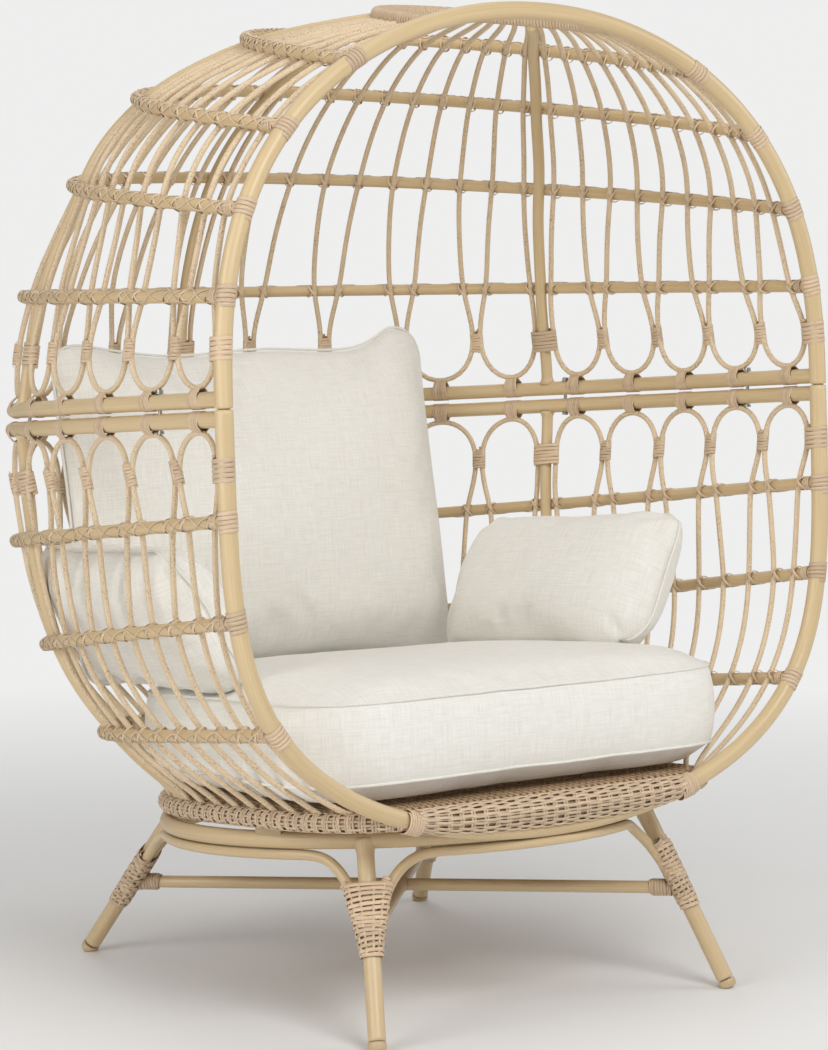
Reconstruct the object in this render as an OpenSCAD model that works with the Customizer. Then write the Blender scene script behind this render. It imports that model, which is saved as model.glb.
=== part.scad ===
// Free-standing egg chair: two-half cage of bent tube and rod on a four-leg ring stand,
// with a seat cushion, a back cushion and two arm pillows.
// +Z is up, the opening faces -Y, X = 0 is the middle plane, Z = 0 is the floor.
// Right is +X, as seen from in front of the chair.

/* [Shell] */
// Height of the hoop's top centreline above the floor
hoop_top = 1585; // [1500:5:1650]
// Height of the split between the upper and lower half
seam_z = 985; // [970:1:1000]
// Height the lower hoop's curve closes at
hoop_low = 305; // [300:1:312]
// Greatest half width of the hoop
hoop_half = 591; // [570:1:610]
// Lean of the hoop plane, depth per height
hoop_lean = 0.051; // [0.03:0.001:0.07]
// Distance of the hoop plane in front of the sketch origin at 1 m height
hoop_front = 337.5; // [330:0.5:345]
// Curve exponent of the upper hoop
hoop_exp_up = 2.6; // [2.3:0.1:3]
// Curve exponent of the lower hoop
hoop_exp_lo = 4.3; // [3.9:0.1:4.7]
// Loops of rod round each half
loops = 20; // [20:4:20]

/* [Tube and rod] */
// Diameter of the hoop tube
hoop_d = 28; // [24:0.5:30]
// Diameter of the two seam rails
rail_d = 25; // [22:0.5:28]
// Diameter of the rear tubes
rear_d = 20; // [18:0.5:24]
// Diameter of the horizontal ribs
rib_d = 20; // [16:0.5:21]
// Diameter of the loop rods
rod_d = 9.2; // [7:0.1:10]
// Diameter of the woven seat rim
rim_d = 30; // [26:1:34]
// Gap between the two seam rails
seam_gap = 4; // [3:0.5:6]

/* [Stand] */
// Centreline radius of the base ring
ring_r = 396; // [380:1:410]
// Height of the base ring's centre
ring_z = 276; // [265:1:285]
// Tilt of the seat deck and ring, height per depth
ring_tilt = -0.076; // [-0.09:0.002:-0.06]
// Diameter of the ring and the legs
leg_d = 28; // [24:0.5:30]
// Half distance between the feet, sideways
foot_x = 356; // [340:1:370]
// Front feet, distance in front of the sketch origin
foot_front = 395; // [380:1:410]
// Rear feet, distance behind the sketch origin
foot_back = 470; // [450:1:490]
// Diameter of the bracket arcs under the ring
arc_d = 17; // [14:0.5:19]
// Diameter of the crossed stretchers
stretcher_d = 21; // [16:0.5:23]

/* [Cushions] */
// Thickness of the seat cushion
seat_t = 166; // [120:2:170]
// Half width of the seat cushion
seat_half = 428; // [400:2:430]
// Width of the back cushion
back_w = 760; // [700:10:770]
// Height of the back cushion
back_h = 540; // [480:10:560]
// Width of an arm pillow
arm_w = 484; // [400:4:490]
// Height of an arm pillow
arm_h = 262; // [220:2:270]

/* [Hidden] */

cane = [0.87, 0.77, 0.60];
strip = [0.88, 0.79, 0.66];
cloth = [0.93, 0.92, 0.88];
steel = [0.72, 0.72, 0.70];
cap_col = [0.74, 0.70, 0.55];

// Stations of the cage, from the seam up or down. Each is the plane curve of one rib, from
// hoop to hoop round the back. Columns: front height, tilt (height per depth), rear depth,
// widest place (share of the depth), front exponent, rear exponent, and the quarter:
// the share of the way round at which the side tube runs.
rail_offset = (rail_d + seam_gap) / 2;
UPPER = [
    [seam_z + rail_offset, -0.074, 726, 0.27, 5.0, 2.45, 0.240],
    [1149, -0.023, 720, 0.21, 4.3, 2.45, 0.2385],
    [1276, 0.061, 622, 0.24, 2.3, 2.0, 0.245],
    [1398, 0.110, 440, 0.262, 1.95, 1.95, 0.256],
    [1500, 0.128, 225, 0.25, 1.95, 1.95, 0.256],
    [1562, 0.130, -30, 0.25, 1.95, 1.95, 0.256]];
LOWER = [
    [seam_z - rail_offset, -0.078, 724, 0.27, 5.2, 2.5, 0.2405],
    [821, -0.124, 722, 0.30, 5.2, 2.4, 0.241],
    [671, -0.160, 690, 0.31, 3.8, 2.0, 0.2435],
    [498, -0.130, 505, 0.33, 4.2, 2.2, 0.25],
    [345, -0.086, 425, 0.487, 4.7, 2.1, 0.25]];

// Depths are given from the sketch origin. The part's origin lies y_mid behind it,
// in the middle of the overall depth.
front_margin = 1;
y_mid = (UPPER[0][2] + rail_d / 2 - foot_front - leg_d / 2 - front_margin) / 2;

// Centre and squared half axes (in proportion) of the ellipsoid that gives outward directions.
cage_centre = [0, 180 - y_mid, 950];
cage_axes_sq = [0.36, 0.30, 0.40];

// ---- Curves ----
function unit(v) = v / norm(v);
function signed_pow(v, e) = sign(v) * pow(abs(v), e);

// Depth of the hoop plane and half width of the hoop at height z.
function hoop_y(z) = -hoop_front + hoop_lean * (z - 1000);
function hoop_w(z) = z >= seam_z
    ? hoop_half * sqrt(max(0, 1 - pow((z - seam_z) / (hoop_top - seam_z), hoop_exp_up)))
    : hoop_half * sqrt(max(0, 1 - pow((seam_z - z) / (seam_z - hoop_low), hoop_exp_lo)));
function hoop_pt(side, z) = [side * hoop_w(z), hoop_y(z) - y_mid, z];

// Row i of a station table, carried on in a straight line one row past either end.
function row(table, i) = let (last = len(table) - 1)
    i < 0 ? 2 * table[0] - table[1]
    : i > last ? 2 * table[last] - table[last - 1]
    : table[i];

// Catmull-Rom blend of the station table at a fractional station number u.
function station(table, u) = let (
        i = max(0, min(len(table) - 2, floor(u))),
        f = u - i,
        a = row(table, i - 1),
        b = row(table, i),
        c = row(table, i + 1),
        d = row(table, i + 2))
    0.5 * (2 * b + (c - a) * f + (2 * a - 5 * b + 4 * c - d) * f * f
        + (3 * b - a - 3 * c + d) * f * f * f);

// Curve of a station: steps + 1 points from the hoop's right side round the back to its left.
function curve(st, steps = 72) = let (
        front_z = st[0],
        front_y = hoop_y(front_z),
        wide_y = front_y + st[3] * (st[2] - front_y),
        depth = st[2] - wide_y,
        reach = (wide_y - front_y) / depth,
        half_w = hoop_w(front_z) / pow(1 - pow(reach, st[4]), 1 / st[4]),
        start = -asin(pow(reach, st[4] / 2)))
    [for (i = [0:steps]) let (
            angle = start + (180 - 2 * start) * i / steps,
            e = 2 / (sin(angle) < 0 ? st[4] : st[5]),
            y = wide_y + depth * signed_pow(sin(angle), e))
        [half_w * signed_pow(cos(angle), e), y - y_mid, front_z + st[1] * (y - front_y)]];

// Length along the path up to each point, and the point at a given length.
function lengths(path, i = 0, sum = 0) = i >= len(path) ? []
    : let (here = i == 0 ? 0 : sum + norm(path[i] - path[i - 1]))
        concat([here], lengths(path, i + 1, here));
function point_at(path, runs, want, i = 1) = (i >= len(path) - 1 || runs[i] >= want)
    ? path[i - 1] + (path[i] - path[i - 1]) * (want - runs[i - 1]) / (runs[i] - runs[i - 1])
    : point_at(path, runs, want, i + 1);
function even_points(path, steps) = let (runs = lengths(path))
    [for (i = [0:steps]) point_at(path, runs, runs[len(runs) - 1] * i / steps)];

// Even share f of the way round, drawn in or out so that f = 0.25 lands on the quarter.
function share(quarter, f) = let (
        g = min(f, 1 - f),
        h = g < 0.25 ? 4 * g * quarter : quarter + 4 * (g - 0.25) * (0.5 - quarter))
    f > 0.5 ? 1 - h : h;

// Point on the cage at station u and share f of the way round.
function cage(table, u, f) = let (
        st = station(table, u),
        path = curve(st),
        runs = lengths(path))
    point_at(path, runs, share(st[6], f) * runs[len(runs) - 1]);

// Outward direction of the cage at a point.
function outward(p) = let (d = p - cage_centre)
    unit([for (k = [0:2]) d[k] / cage_axes_sq[k]]);

// ---- Solids along paths ----
// Closed skin through rings of equal point count.
module skin(rings, convexity) {
    n = len(rings);
    k = len(rings[0]);
    polyhedron(
        points = [for (ring = rings) for (p = ring) p],
        faces = concat(
            [[for (j = [0:k - 1]) j]],
            [for (i = [0:n - 2]) for (j = [0:k - 1]) let (next = (j + 1) % k)
                [i * k + j, (i + 1) * k + j, (i + 1) * k + next, i * k + next]],
            [[for (j = [k - 1:-1:0]) (n - 1) * k + j]]),
        convexity = convexity);
}

// Bar of diameter d along a path.
module bar(path, d, sides = 8) {
    last = len(path) - 1;
    skin([for (i = [0:last]) let (
            along = unit(path[min(last, i + 1)] - path[max(0, i - 1)]),
            across = unit(cross(along, outward(path[i]))),
            out = cross(across, along))
        [for (j = [0:sides - 1]) let (angle = 360 * j / sides)
            path[i] + d / 2 * (cos(angle) * across + sin(angle) * out)]], convexity = 6);
}

// Moves children to point a, with +Z turned towards point b.
module aim(a, b) {
    v = b - a;
    translate(a) rotate([0, acos(v[2] / norm(v)), atan2(v[1], v[0])]) children();
}

// Straight round bar between two points.
module rod(a, b, d) {
    aim(a, b) cylinder(h = norm(b - a), d = d, $fn = 48);
}

// Sleeve of a length centred on a point, along a direction.
module sleeve(centre, dir, length, d) {
    half = unit(dir) * length / 2;
    rod(centre - half, centre + half, d);
}

// ---- Cage frame ----
module hoop_upper() {
    end_z = seam_z + seam_gap / 2;
    color(cane) bar([for (i = [0:28]) let (angle = 180 * i / 28)
        hoop_pt(angle < 90 ? 1 : -1, end_z + (hoop_top - end_z) * pow(sin(angle), 0.9))], hoop_d);
}
module hoop_lower() {
    end_z = seam_z - seam_gap / 2;
    color(cane) bar([for (i = [-14:14]) let (angle = 90 * abs(i) / 14)
        hoop_pt(i < 0 ? 1 : -1,
            hoop_low + (end_z - hoop_low) * (1 - pow(cos(angle), 0.55)))], hoop_d);
}

module rib(table, u, d, steps = 22, sides = 6) {
    color(cane) bar(even_points(curve(station(table, u)), steps), d, sides);
}
module seam_rail_upper() { rib(UPPER, 0, rail_d, steps = 24, sides = 8); }
module seam_rail_lower() { rib(LOWER, 0, rail_d, steps = 24, sides = 8); }
module top_rail() { rib(UPPER, 5, 16, steps = 14); }
module rib_1() { rib(UPPER, 4, rib_d, steps = 18); }
module rib_2() { rib(UPPER, 3, rib_d, steps = 20); }
module rib_3() { rib(UPPER, 2, rib_d); }
module rib_4() { rib(UPPER, 1, rib_d); }
module rib_5() { rib(LOWER, 1, rib_d); }
module rib_6() { rib(LOWER, 2, rib_d); }
module rib_7() { rib(LOWER, 3, rib_d, steps = 20); }

// Rear tube at share f, from the seam to the last station; it runs inside the ribs.
rear_inset = 12;
module rear_tube(table, f) {
    color(cane) bar([for (i = [0:10]) let (
            u = (len(table) - 1) * i / 10,
            p = cage(table, u, f))
        p - outward(p) * rear_inset * min(1, u)], rear_d);
}
module rear_tube_upper_right() { rear_tube(UPPER, 0.25); }
module rear_tube_upper_centre() { rear_tube(UPPER, 0.5); }
module rear_tube_upper_left() { rear_tube(UPPER, 0.75); }
module rear_tube_lower_right() { rear_tube(LOWER, 0.25); }
module rear_tube_lower_centre() { rear_tube(LOWER, 0.5); }
module rear_tube_lower_left() { rear_tube(LOWER, 0.75); }

// ---- Loops ----
// Each loop runs from the far end of its half to the seam, turns there and runs back.
bay_loops = loops / 4;
tie_u = 0.49;          // station number where neighbouring loops are tied
turn_u = 0.10;         // station number of the turn
far_spread = 0.25;     // sideways offset of each rod in loop pitches, from station 2 on
rib_spread = 0.33;     // the same at station 1
tie_spread = 0.465;    // the same at the tie
tube_spread = 0.36;    // greatest offset towards a rear tube
hoop_clearance = 0.117; // pitches the outermost rods are drawn in from the hoop

function spread(u) = u >= 2 ? far_spread
    : u >= 1 ? far_spread + (rib_spread - far_spread) * (2 - u)
    : rib_spread + (tie_spread - rib_spread) * sin(90 * min(1, (1 - u) / (1 - tie_u)));

// Offset s of a rod of loop i, changed where the rod stands beside the hoop or a rear tube.
function clear(i, s) = i == 0 && s < 0 ? s + hoop_clearance
    : i == loops - 1 && s > 0 ? s - hoop_clearance
    : i % bay_loops == bay_loops - 1 ? min(s, tube_spread)
    : i % bay_loops == 0 ? max(s, -tube_spread)
    : s;

// Rod centre, set in from the cage surface: less near the seam, more inside the ribs.
function rod_at(table, i, s, u) = let (p = cage(table, u, (i + 0.5 + s) / loops))
    p - outward(p) * (u > 0.8 ? 10.5 : 2.5);

function loop_path(table, i) = let (
        us = concat([for (u = [len(table) - 1:-0.5:1]) u], [0.75, tie_u]))
    concat(
        [for (u = us) rod_at(table, i, clear(i, -spread(u)), u)],
        [for (angle = [30:30:150]) let (
                s = angle < 90 ? clear(i, -tie_spread) : -clear(i, tie_spread))
            rod_at(table, i, s * cos(angle), tie_u - (tie_u - turn_u) * sin(angle))],
        [for (j = [len(us) - 1:-1:0]) rod_at(table, i, clear(i, spread(us[j])), us[j])]);

// Bays are numbered from the hoop's right side round the back.
module loop_bay(table, bay) {
    color(strip) for (i = [0:bay_loops - 1])
        bar(loop_path(table, bay * bay_loops + i), rod_d, sides = 5);
}
module loops_upper_front_right() { loop_bay(UPPER, 0); }
module loops_upper_rear_right() { loop_bay(UPPER, 1); }
module loops_upper_rear_left() { loop_bay(UPPER, 2); }
module loops_upper_front_left() { loop_bay(UPPER, 3); }
module loops_lower_front_right() { loop_bay(LOWER, 0); }
module loops_lower_rear_right() { loop_bay(LOWER, 1); }
module loops_lower_rear_left() { loop_bay(LOWER, 2); }
module loops_lower_front_left() { loop_bay(LOWER, 3); }

// Ties bind neighbouring rods side by side; those at a rear tube are wider.
tie_length = 37;
tie_d = 21;
tube_tie_d = 38;
tie_inset = 4;
module ties(table) {
    color(strip) for (i = [1:loops - 1]) {
        p = cage(table, tie_u, i / loops);
        sleeve(p - outward(p) * tie_inset, cage(table, tie_u + 0.1, i / loops) - p,
            tie_length, i % bay_loops == 0 ? tube_tie_d : tie_d);
    }
}
module loop_ties_upper() { ties(UPPER); }
module loop_ties_lower() { ties(LOWER); }

// Wraps bind each loop to its seam rail.
wrap_length = 28;
wrap_d = rail_d + 6;
module wraps(table) {
    color(strip) for (i = [0:loops - 1]) {
        p = cage(table, 0, (i + 0.5) / loops);
        sleeve(p, cage(table, 0, (i + 0.6) / loops) - p, wrap_length, wrap_d);
    }
}
module seam_wraps_upper() { wraps(UPPER); }
module seam_wraps_lower() { wraps(LOWER); }

// ---- Seat: woven rim, deck and the apron roll across the front ----
ring_y = 26;       // depth of the centre of the base ring and deck
deck_lift = 46;    // deck underside above the ring's centre
deck_t = 12;
deck_scale = 0.965; // deck outline within the rim's centreline
apron_half = 265;
apron_z = 333;
collar_x = 275;
collar_z = 341;

module tilted(z) {
    translate([0, ring_y - y_mid, z]) rotate([atan(ring_tilt), 0, 0]) children();
}

module seat_rim() { color(strip) bar(even_points(curve(LOWER[4]), 28), rim_d); }
module seat_deck() {
    color(strip) tilted(ring_z + deck_lift) linear_extrude(height = deck_t)
        polygon([for (p = curve(LOWER[4], 48))
            [p[0] * deck_scale, (p[1] + y_mid - ring_y) * deck_scale]]);
}
// The roll bows 4 mm forward in the middle and rises 9 mm at its ends.
module seat_apron() {
    color(strip) bar([for (i = [-8:8]) [
        apron_half * i / 8,
        hoop_y(330) - y_mid - 4 * (1 - i * i / 64),
        apron_z + 9 * pow(abs(i) / 8, 3)]], 46, sides = 10);
}
module hoop_collars() {
    color(strip) for (side = [1, -1])
        sleeve([side * collar_x, hoop_y(collar_z) - y_mid, collar_z], [side * 60, 0, 16], 26, 36);
}

// ---- Stand ----
// Legs are numbered front left, front right, rear left, rear right.
leg_angle = [225, 315, 135, 45];
leg_start_z = 9;      // lower end of a leg tube, inside its foot cap
leg_top_drop = 11;    // upper end of a leg tube below the ring's centreline
cap_top_z = 13;

function ring_pt(angle, r = ring_r, lift = 0) = [
    r * cos(angle),
    ring_y - y_mid + r * sin(angle),
    ring_z + ring_tilt * r * sin(angle) + lift];
function foot(i) = [
    (i % 2 == 0 ? -1 : 1) * foot_x,
    (i < 2 ? -foot_front : foot_back) - y_mid,
    0];
function leg_top(i) = ring_pt(leg_angle[i]);
// Point on the centreline of leg i at height z.
function on_leg(i, z) = foot(i) + (leg_top(i) - foot(i)) * z / leg_top(i)[2];

module base_ring() {
    color(cane) tilted(ring_z) rotate_extrude($fn = 96)
        translate([ring_r, 0]) circle(d = leg_d, $fn = 48);
}
module leg(i) {
    color(cane) rod(on_leg(i, leg_start_z), on_leg(i, leg_top(i)[2] - leg_top_drop), leg_d);
}
module leg_front_left() { leg(0); }
module leg_front_right() { leg(1); }
module leg_rear_left() { leg(2); }
module leg_rear_right() { leg(3); }

module foot_caps() {
    color(cap_col) for (i = [0:3]) intersection() {
        rod(on_leg(i, -16), on_leg(i, cap_top_z), leg_d + 1);
        // Cuts the cap flat at the floor.
        translate(foot(i) - [40, 40, 0]) cube([80, 80, 60]);
    }
}

// Bracket arc: follows the ring from leg to leg and dives to each leg at its ends.
arc_lift = -(leg_d + arc_d) / 2;
arc_r = ring_r + 3;
arc_aim_z = 250;
// Points of the dive, leg end first: [drop below the arc, distance out from the leg]
arc_dive = [[122, 13], [92, 19], [50, 29], [22, 52], [6, 70]];

function arc_end(i, target) = let (
        d = target - on_leg(i, arc_aim_z),
        level = unit([d[0], d[1], 0]))
    [for (dive = arc_dive) on_leg(i, leg_top(i)[2] + arc_lift - dive[0]) + level * dive[1]];

module bracket_arc(from, to) {
    start = leg_angle[from];
    mid = [for (angle = [start + 14:6.2:start + 76]) ring_pt(angle, arc_r, arc_lift)];
    end = arc_end(to, mid[len(mid) - 1]);
    bar(concat(arc_end(from, mid[0]), mid, [for (k = [len(end) - 1:-1:0]) end[k]]), arc_d);
}
module bracket_arcs() {
    color(cane) for (pair = [[3, 2], [2, 0], [0, 1], [1, 3]]) bracket_arc(pair[0], pair[1]);
}

// Stretchers cross under the seat: one runs through, the other is two halves that meet it.
function stretcher_end(i) = on_leg(i, i < 2 ? 160 : 130);
cross_pt = (stretcher_end(2) + stretcher_end(1)) / 2;
half_gap = stretcher_d / 2 + 0.2; // from the crossing to the end of a half

module stretcher_long() { color(cane) rod(stretcher_end(2), stretcher_end(1), stretcher_d); }
module stretcher_halves() {
    gap = unit(stretcher_end(0) - stretcher_end(3)) * half_gap;
    color(cane) {
        rod(stretcher_end(0), cross_pt + gap, stretcher_d);
        rod(stretcher_end(3), cross_pt - gap, stretcher_d);
    }
}
module stretcher_collars() {
    color(strip) for (i = [0:3]) {
        end = stretcher_end(i);
        inward = unit(cross_pt - end);
        rod(end + inward * 22, end + inward * 46, stretcher_d + 8);
    }
}

// Tapered wraps round the legs where the stretchers join: [bottom, top] heights.
front_wrap = [133, 229];
rear_wrap = [94, 182];
module leg_wraps() {
    color(strip) for (i = [0:3]) {
        span = i < 2 ? front_wrap : rear_wrap;
        a = on_leg(i, span[0]);
        b = on_leg(i, span[1]);
        aim(a, b) cylinder(h = norm(b - a), d1 = leg_d + 6, d2 = leg_d + 14, $fn = 48);
    }
}

// ---- Pads and bolts that hold the cage on the stand ----
mount_angles = [202, 338, 60, 120];
pad = [48, 20, 14];
pad_lift = 9;
bolt_d = 6;

module mount_pads() {
    color(strip) for (angle = mount_angles)
        translate(ring_pt(angle)) rotate([0, 0, angle + 90])
            translate([-pad[0] / 2, -pad[1] / 2, pad_lift]) cube(pad);
}
module mount_bolts() {
    color(steel) for (angle = mount_angles) translate(ring_pt(angle)) {
        translate([0, 0, -17]) cylinder(h = 49, d = bolt_d, $fn = 32);
        translate([0, 0, -21]) cylinder(h = 5, d = 10, $fn = 6);
    }
}
module mount_nuts() {
    color(steel) for (angle = mount_angles)
        translate(ring_pt(angle) + [0, 0, 28]) difference() {
            cylinder(h = 5, d = 11.5, $fn = 6);
            translate([0, 0, -1]) cylinder(h = 7, d = bolt_d + 0.1, $fn = 32);
        }
}

// ---- Seam bolts join the two halves through both rails ----
seam_shares = [0.065, 0.235, 0.415, 0.585, 0.765, 0.935];
seam_bolt_half = 33;
seam_head_d = 11;

// Rod across the seam at share f, between two distances above the seam's middle.
module seam_rod(f, from, to, d) {
    above = cage(UPPER, 0, f);
    below = cage(LOWER, 0, f);
    mid = (above + below) / 2;
    up = unit(above - below);
    rod(mid + up * from, mid + up * to, d);
}
module seam_bolts() {
    color(steel) for (f = seam_shares) {
        seam_rod(f, -seam_bolt_half, seam_bolt_half, bolt_d);
        seam_rod(f, 30, 34.5, seam_head_d);
    }
}
module seam_washers() { color(steel) for (f = seam_shares) seam_rod(f, 28.2, 29.7, 13); }
module seam_nuts() {
    color(steel) for (f = seam_shares) seam_rod(f, -seam_bolt_half, -28.5, seam_head_d);
}

// ---- Cushions, each a plain closed solid ----
// Seat outline: squarer in front, rounder behind.
seat_outline = [for (i = [0:59]) let (
        angle = 6 * i,
        in_front = sin(angle) < 0,
        e = 2 / (in_front ? 8 : 2.15))
    [seat_half * signed_pow(cos(angle), e),
        (in_front ? 390 : 372) * signed_pow(sin(angle), e)]];
// The seat cushion tapers in below its lower seam, to sit between the rods.
// Columns: height, scale of the outline
seat_levels = [[0, 0.86], [48, 1], [seat_t, 1]];

module seat_cushion() {
    color(cloth) translate([0, 40 - y_mid, 346]) rotate([atan(-0.06), 0, 0])
        skin([for (level = seat_levels)
            [for (p = seat_outline) [p[0] * level[1], p[1] * level[1], level[0]]]],
            convexity = 4);
}

// Point i of 9 from the middle of the back cushion's section to its edge.
function back_pt(i, edge, bulge, e) =
    [back_w / 2 * i / 9, edge + bulge * (1 - pow(abs(i / 9), e))];
module back_cushion() {
    color(cloth) translate([0, 424 - y_mid, 505]) rotate([-10.5, 0, 0])
        linear_extrude(height = back_h) polygon(concat(
            [for (i = [-9:9]) back_pt(i, -14, -56, 2.6)],
            [for (i = [9:-1:-9]) back_pt(i, 14, 74, 2.2)]));
}

// Arm pillow: a lens across its height, run along its width. It leans out against
// the rods, its front end a little higher and further out.
arm_edge = 8;   // half thickness at the edges
arm_bulge = 52; // added half thickness in the middle
arm_run = unit([0.087, -0.992, 0.070]);
arm_up = unit([0.516, 0.100, 0.851]);

function lens_pt(side, i) = [side * (arm_edge + arm_bulge * sin(180 * i / 16)), arm_h * i / 16];
module arm_pillow(centre) {
    normal = unit(cross(arm_run, arm_up));
    run = cross(arm_up, normal);
    color(cloth) multmatrix([for (k = [0:2]) [normal[k], arm_up[k], run[k], centre[k]]])
        translate([0, -arm_h / 2, -arm_w / 2]) linear_extrude(height = arm_w)
            polygon(concat([for (i = [0:16]) lens_pt(-1, i)], [for (i = [16:-1:0]) lens_pt(1, i)]));
}
module arm_pillow_right() { arm_pillow([400, 104 - y_mid, 628]); }
module arm_pillow_left() { mirror([1, 0, 0]) arm_pillow([440, 140 - y_mid, 630]); }

hoop_upper();
hoop_lower();
seam_rail_upper();
seam_rail_lower();
top_rail();
rear_tube_upper_right();
rear_tube_upper_centre();
rear_tube_upper_left();
rear_tube_lower_right();
rear_tube_lower_centre();
rear_tube_lower_left();
rib_1();
rib_2();
rib_3();
rib_4();
rib_5();
rib_6();
rib_7();
loops_upper_front_right();
loops_upper_rear_right();
loops_upper_rear_left();
loops_upper_front_left();
loops_lower_front_right();
loops_lower_rear_right();
loops_lower_rear_left();
loops_lower_front_left();
loop_ties_upper();
loop_ties_lower();
seam_wraps_upper();
seam_wraps_lower();
seat_rim();
seat_deck();
seat_apron();
hoop_collars();
base_ring();
bracket_arcs();
leg_front_left();
leg_front_right();
leg_rear_left();
leg_rear_right();
stretcher_long();
stretcher_halves();
leg_wraps();
stretcher_collars();
foot_caps();
mount_pads();
mount_bolts();
mount_nuts();
seam_bolts();
seam_nuts();
seam_washers();
seat_cushion();
back_cushion();
arm_pillow_right();
arm_pillow_left();
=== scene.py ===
"""Egg-shaped cane lounge chair with linen cushions, on a four-legged stand.

Metres, Z up, floor at z = 0. The open front faces -Y and the chair is symmetric about x = 0;
+X is called right and -X left.

The cage is addressed by (half, u, f). The half is "upper" or "lower", above or below the seam.
u counts stations away from the seam, and f is the share of the way round a level ring, from its
right end on the front hoop, past the rear, to its left end on the hoop.
"""
import math

import bpy
import numpy as np
from mathutils import Matrix, Vector


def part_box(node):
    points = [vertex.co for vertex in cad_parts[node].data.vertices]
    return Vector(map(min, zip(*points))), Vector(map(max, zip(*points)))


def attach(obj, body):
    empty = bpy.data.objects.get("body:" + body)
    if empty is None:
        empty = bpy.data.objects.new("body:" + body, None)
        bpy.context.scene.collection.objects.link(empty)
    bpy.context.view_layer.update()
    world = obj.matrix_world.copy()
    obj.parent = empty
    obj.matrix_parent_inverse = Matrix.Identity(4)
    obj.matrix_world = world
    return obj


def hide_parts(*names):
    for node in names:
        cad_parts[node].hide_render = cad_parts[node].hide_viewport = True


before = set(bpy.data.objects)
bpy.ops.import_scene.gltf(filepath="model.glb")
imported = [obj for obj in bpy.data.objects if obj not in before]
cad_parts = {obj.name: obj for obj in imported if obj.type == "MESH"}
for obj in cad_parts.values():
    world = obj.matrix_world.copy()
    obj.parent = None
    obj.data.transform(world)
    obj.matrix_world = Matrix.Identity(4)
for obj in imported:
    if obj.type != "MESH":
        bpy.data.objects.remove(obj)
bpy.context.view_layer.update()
TAU = 2 * math.pi
rng = np.random.default_rng(20)

# ------------------------------------------------------------------ main dimensions
HOOP_R, RAIL_R, TOP_RAIL_R, REAR_R, RIB_R, ROD_R = .014, .0125, .008, .010, .010, .0046
LEG_R, ARC_R, STRETCHER_R = .014, .0085, .0105

ring_low, ring_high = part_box("base_ring")
RING_Y = (ring_low[1] + ring_high[1]) / 2
RING_Z = (ring_low[2] + ring_high[2]) / 2
RING_R = (ring_high[0] - ring_low[0]) / 2 - LEG_R
ORIGIN_Y = RING_Y - .026            # the y from which the chair's own places are measured
TILT = -.076                        # rise of the base ring and the deck per metre of y

SEAM_Z = .985
SEAM_GAP = .0145                    # from the seam to each of its two rails
HOOP_HALF = .591                    # half the hoop's width, at the seam
HOOP_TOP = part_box("hoop_upper")[1][2] - HOOP_R
HOOP_BOTTOM = .305
HOOP_POWER = {"upper": 2.6, "lower": 4.3}
RINGS_TOP = 1.585                   # height at which the rings' width would close

LOOPS = 20                          # rod loops round each half, five to a bay
STRIP_W, STRIP_T = .0064, .0013     # binding strip

# Rings of the cage, from the seam outwards. Columns: height on the hoop, rise per metre of y,
# y of the rear, share of the depth at which the ring is widest, superellipse power before and
# behind that line, share of the ring's length at which f = .25 lies.
STATIONS = {
    "upper": np.array([
        [SEAM_Z + SEAM_GAP, -.074, .726, .27, 5.0, 2.45, .240],
        [1.149, -.023, .720, .21, 4.3, 2.45, .2385],
        [1.276, .061, .622, .24, 2.3, 2.0, .245],
        [1.398, .110, .440, .262, 1.95, 1.95, .256],
        [1.500, .128, .225, .25, 1.95, 1.95, .256],
        [1.562, .130, -.030, .25, 1.95, 1.95, .256]]),
    "lower": np.array([
        [SEAM_Z - SEAM_GAP, -.078, .724, .27, 5.2, 2.5, .2405],
        [.821, -.124, .722, .30, 5.2, 2.4, .241],
        [.671, -.160, .690, .31, 3.8, 2.0, .2435],
        [.498, -.130, .505, .33, 4.2, 2.2, .25],
        [.345, -.086, .425, .487, 4.7, 2.1, .25]])}
LAST = {half: len(table) - 1 for half, table in STATIONS.items()}
RIBS = [("rib_1", "upper", 4), ("rib_2", "upper", 3), ("rib_3", "upper", 2),
        ("rib_4", "upper", 1), ("rib_5", "lower", 1), ("rib_6", "lower", 2),
        ("rib_7", "lower", 3)]


# ------------------------------------------------------------------ vectors and paths
def unit(vector):
    vector = np.asarray(vector, float)
    return vector / np.maximum(1e-12, np.linalg.norm(vector, axis=-1, keepdims=True))


def square_to(vector, axis):
    """The part of a vector at right angles to a unit axis, as a unit vector."""
    vector = np.asarray(vector, float)
    return unit(vector - axis * (vector * axis).sum(-1, keepdims=True))


def facing_up(vector):
    return np.where(vector[..., 2:] < 0, -vector, vector)


def along(direction, amount):
    """A direction times an amount; either may hold one entry for each point."""
    return np.asarray(direction) * np.asarray(amount)[..., None]


def in_plane(first, second, x, y):
    return along(first, x) + along(second, y)


def full_turn(count):
    return np.linspace(0, TAU, count, endpoint=False)


def signed_power(value, power):
    return np.sign(value) * np.abs(value) ** power


def ease(value, start, length):
    """Rises smoothly from 0 at the start to 1 a length further on."""
    share = np.clip((value - start) / length, 0, 1)
    return share * share * (3 - 2 * share)


def arc_lengths(points):
    return np.r_[0, np.cumsum(np.linalg.norm(np.diff(points, axis=0), axis=1))]


def interpolate(at, known, points):
    return np.stack([np.interp(at, known, points[:, axis]) for axis in range(3)], -1)


def resample(points, count, closed=False):
    points = np.asarray(points, float)
    if closed:
        points = np.vstack([points, points[:1]])
    length = arc_lengths(points)
    at = np.linspace(0, length[-1], count, endpoint=not closed)
    return interpolate(at, length, points)


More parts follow.
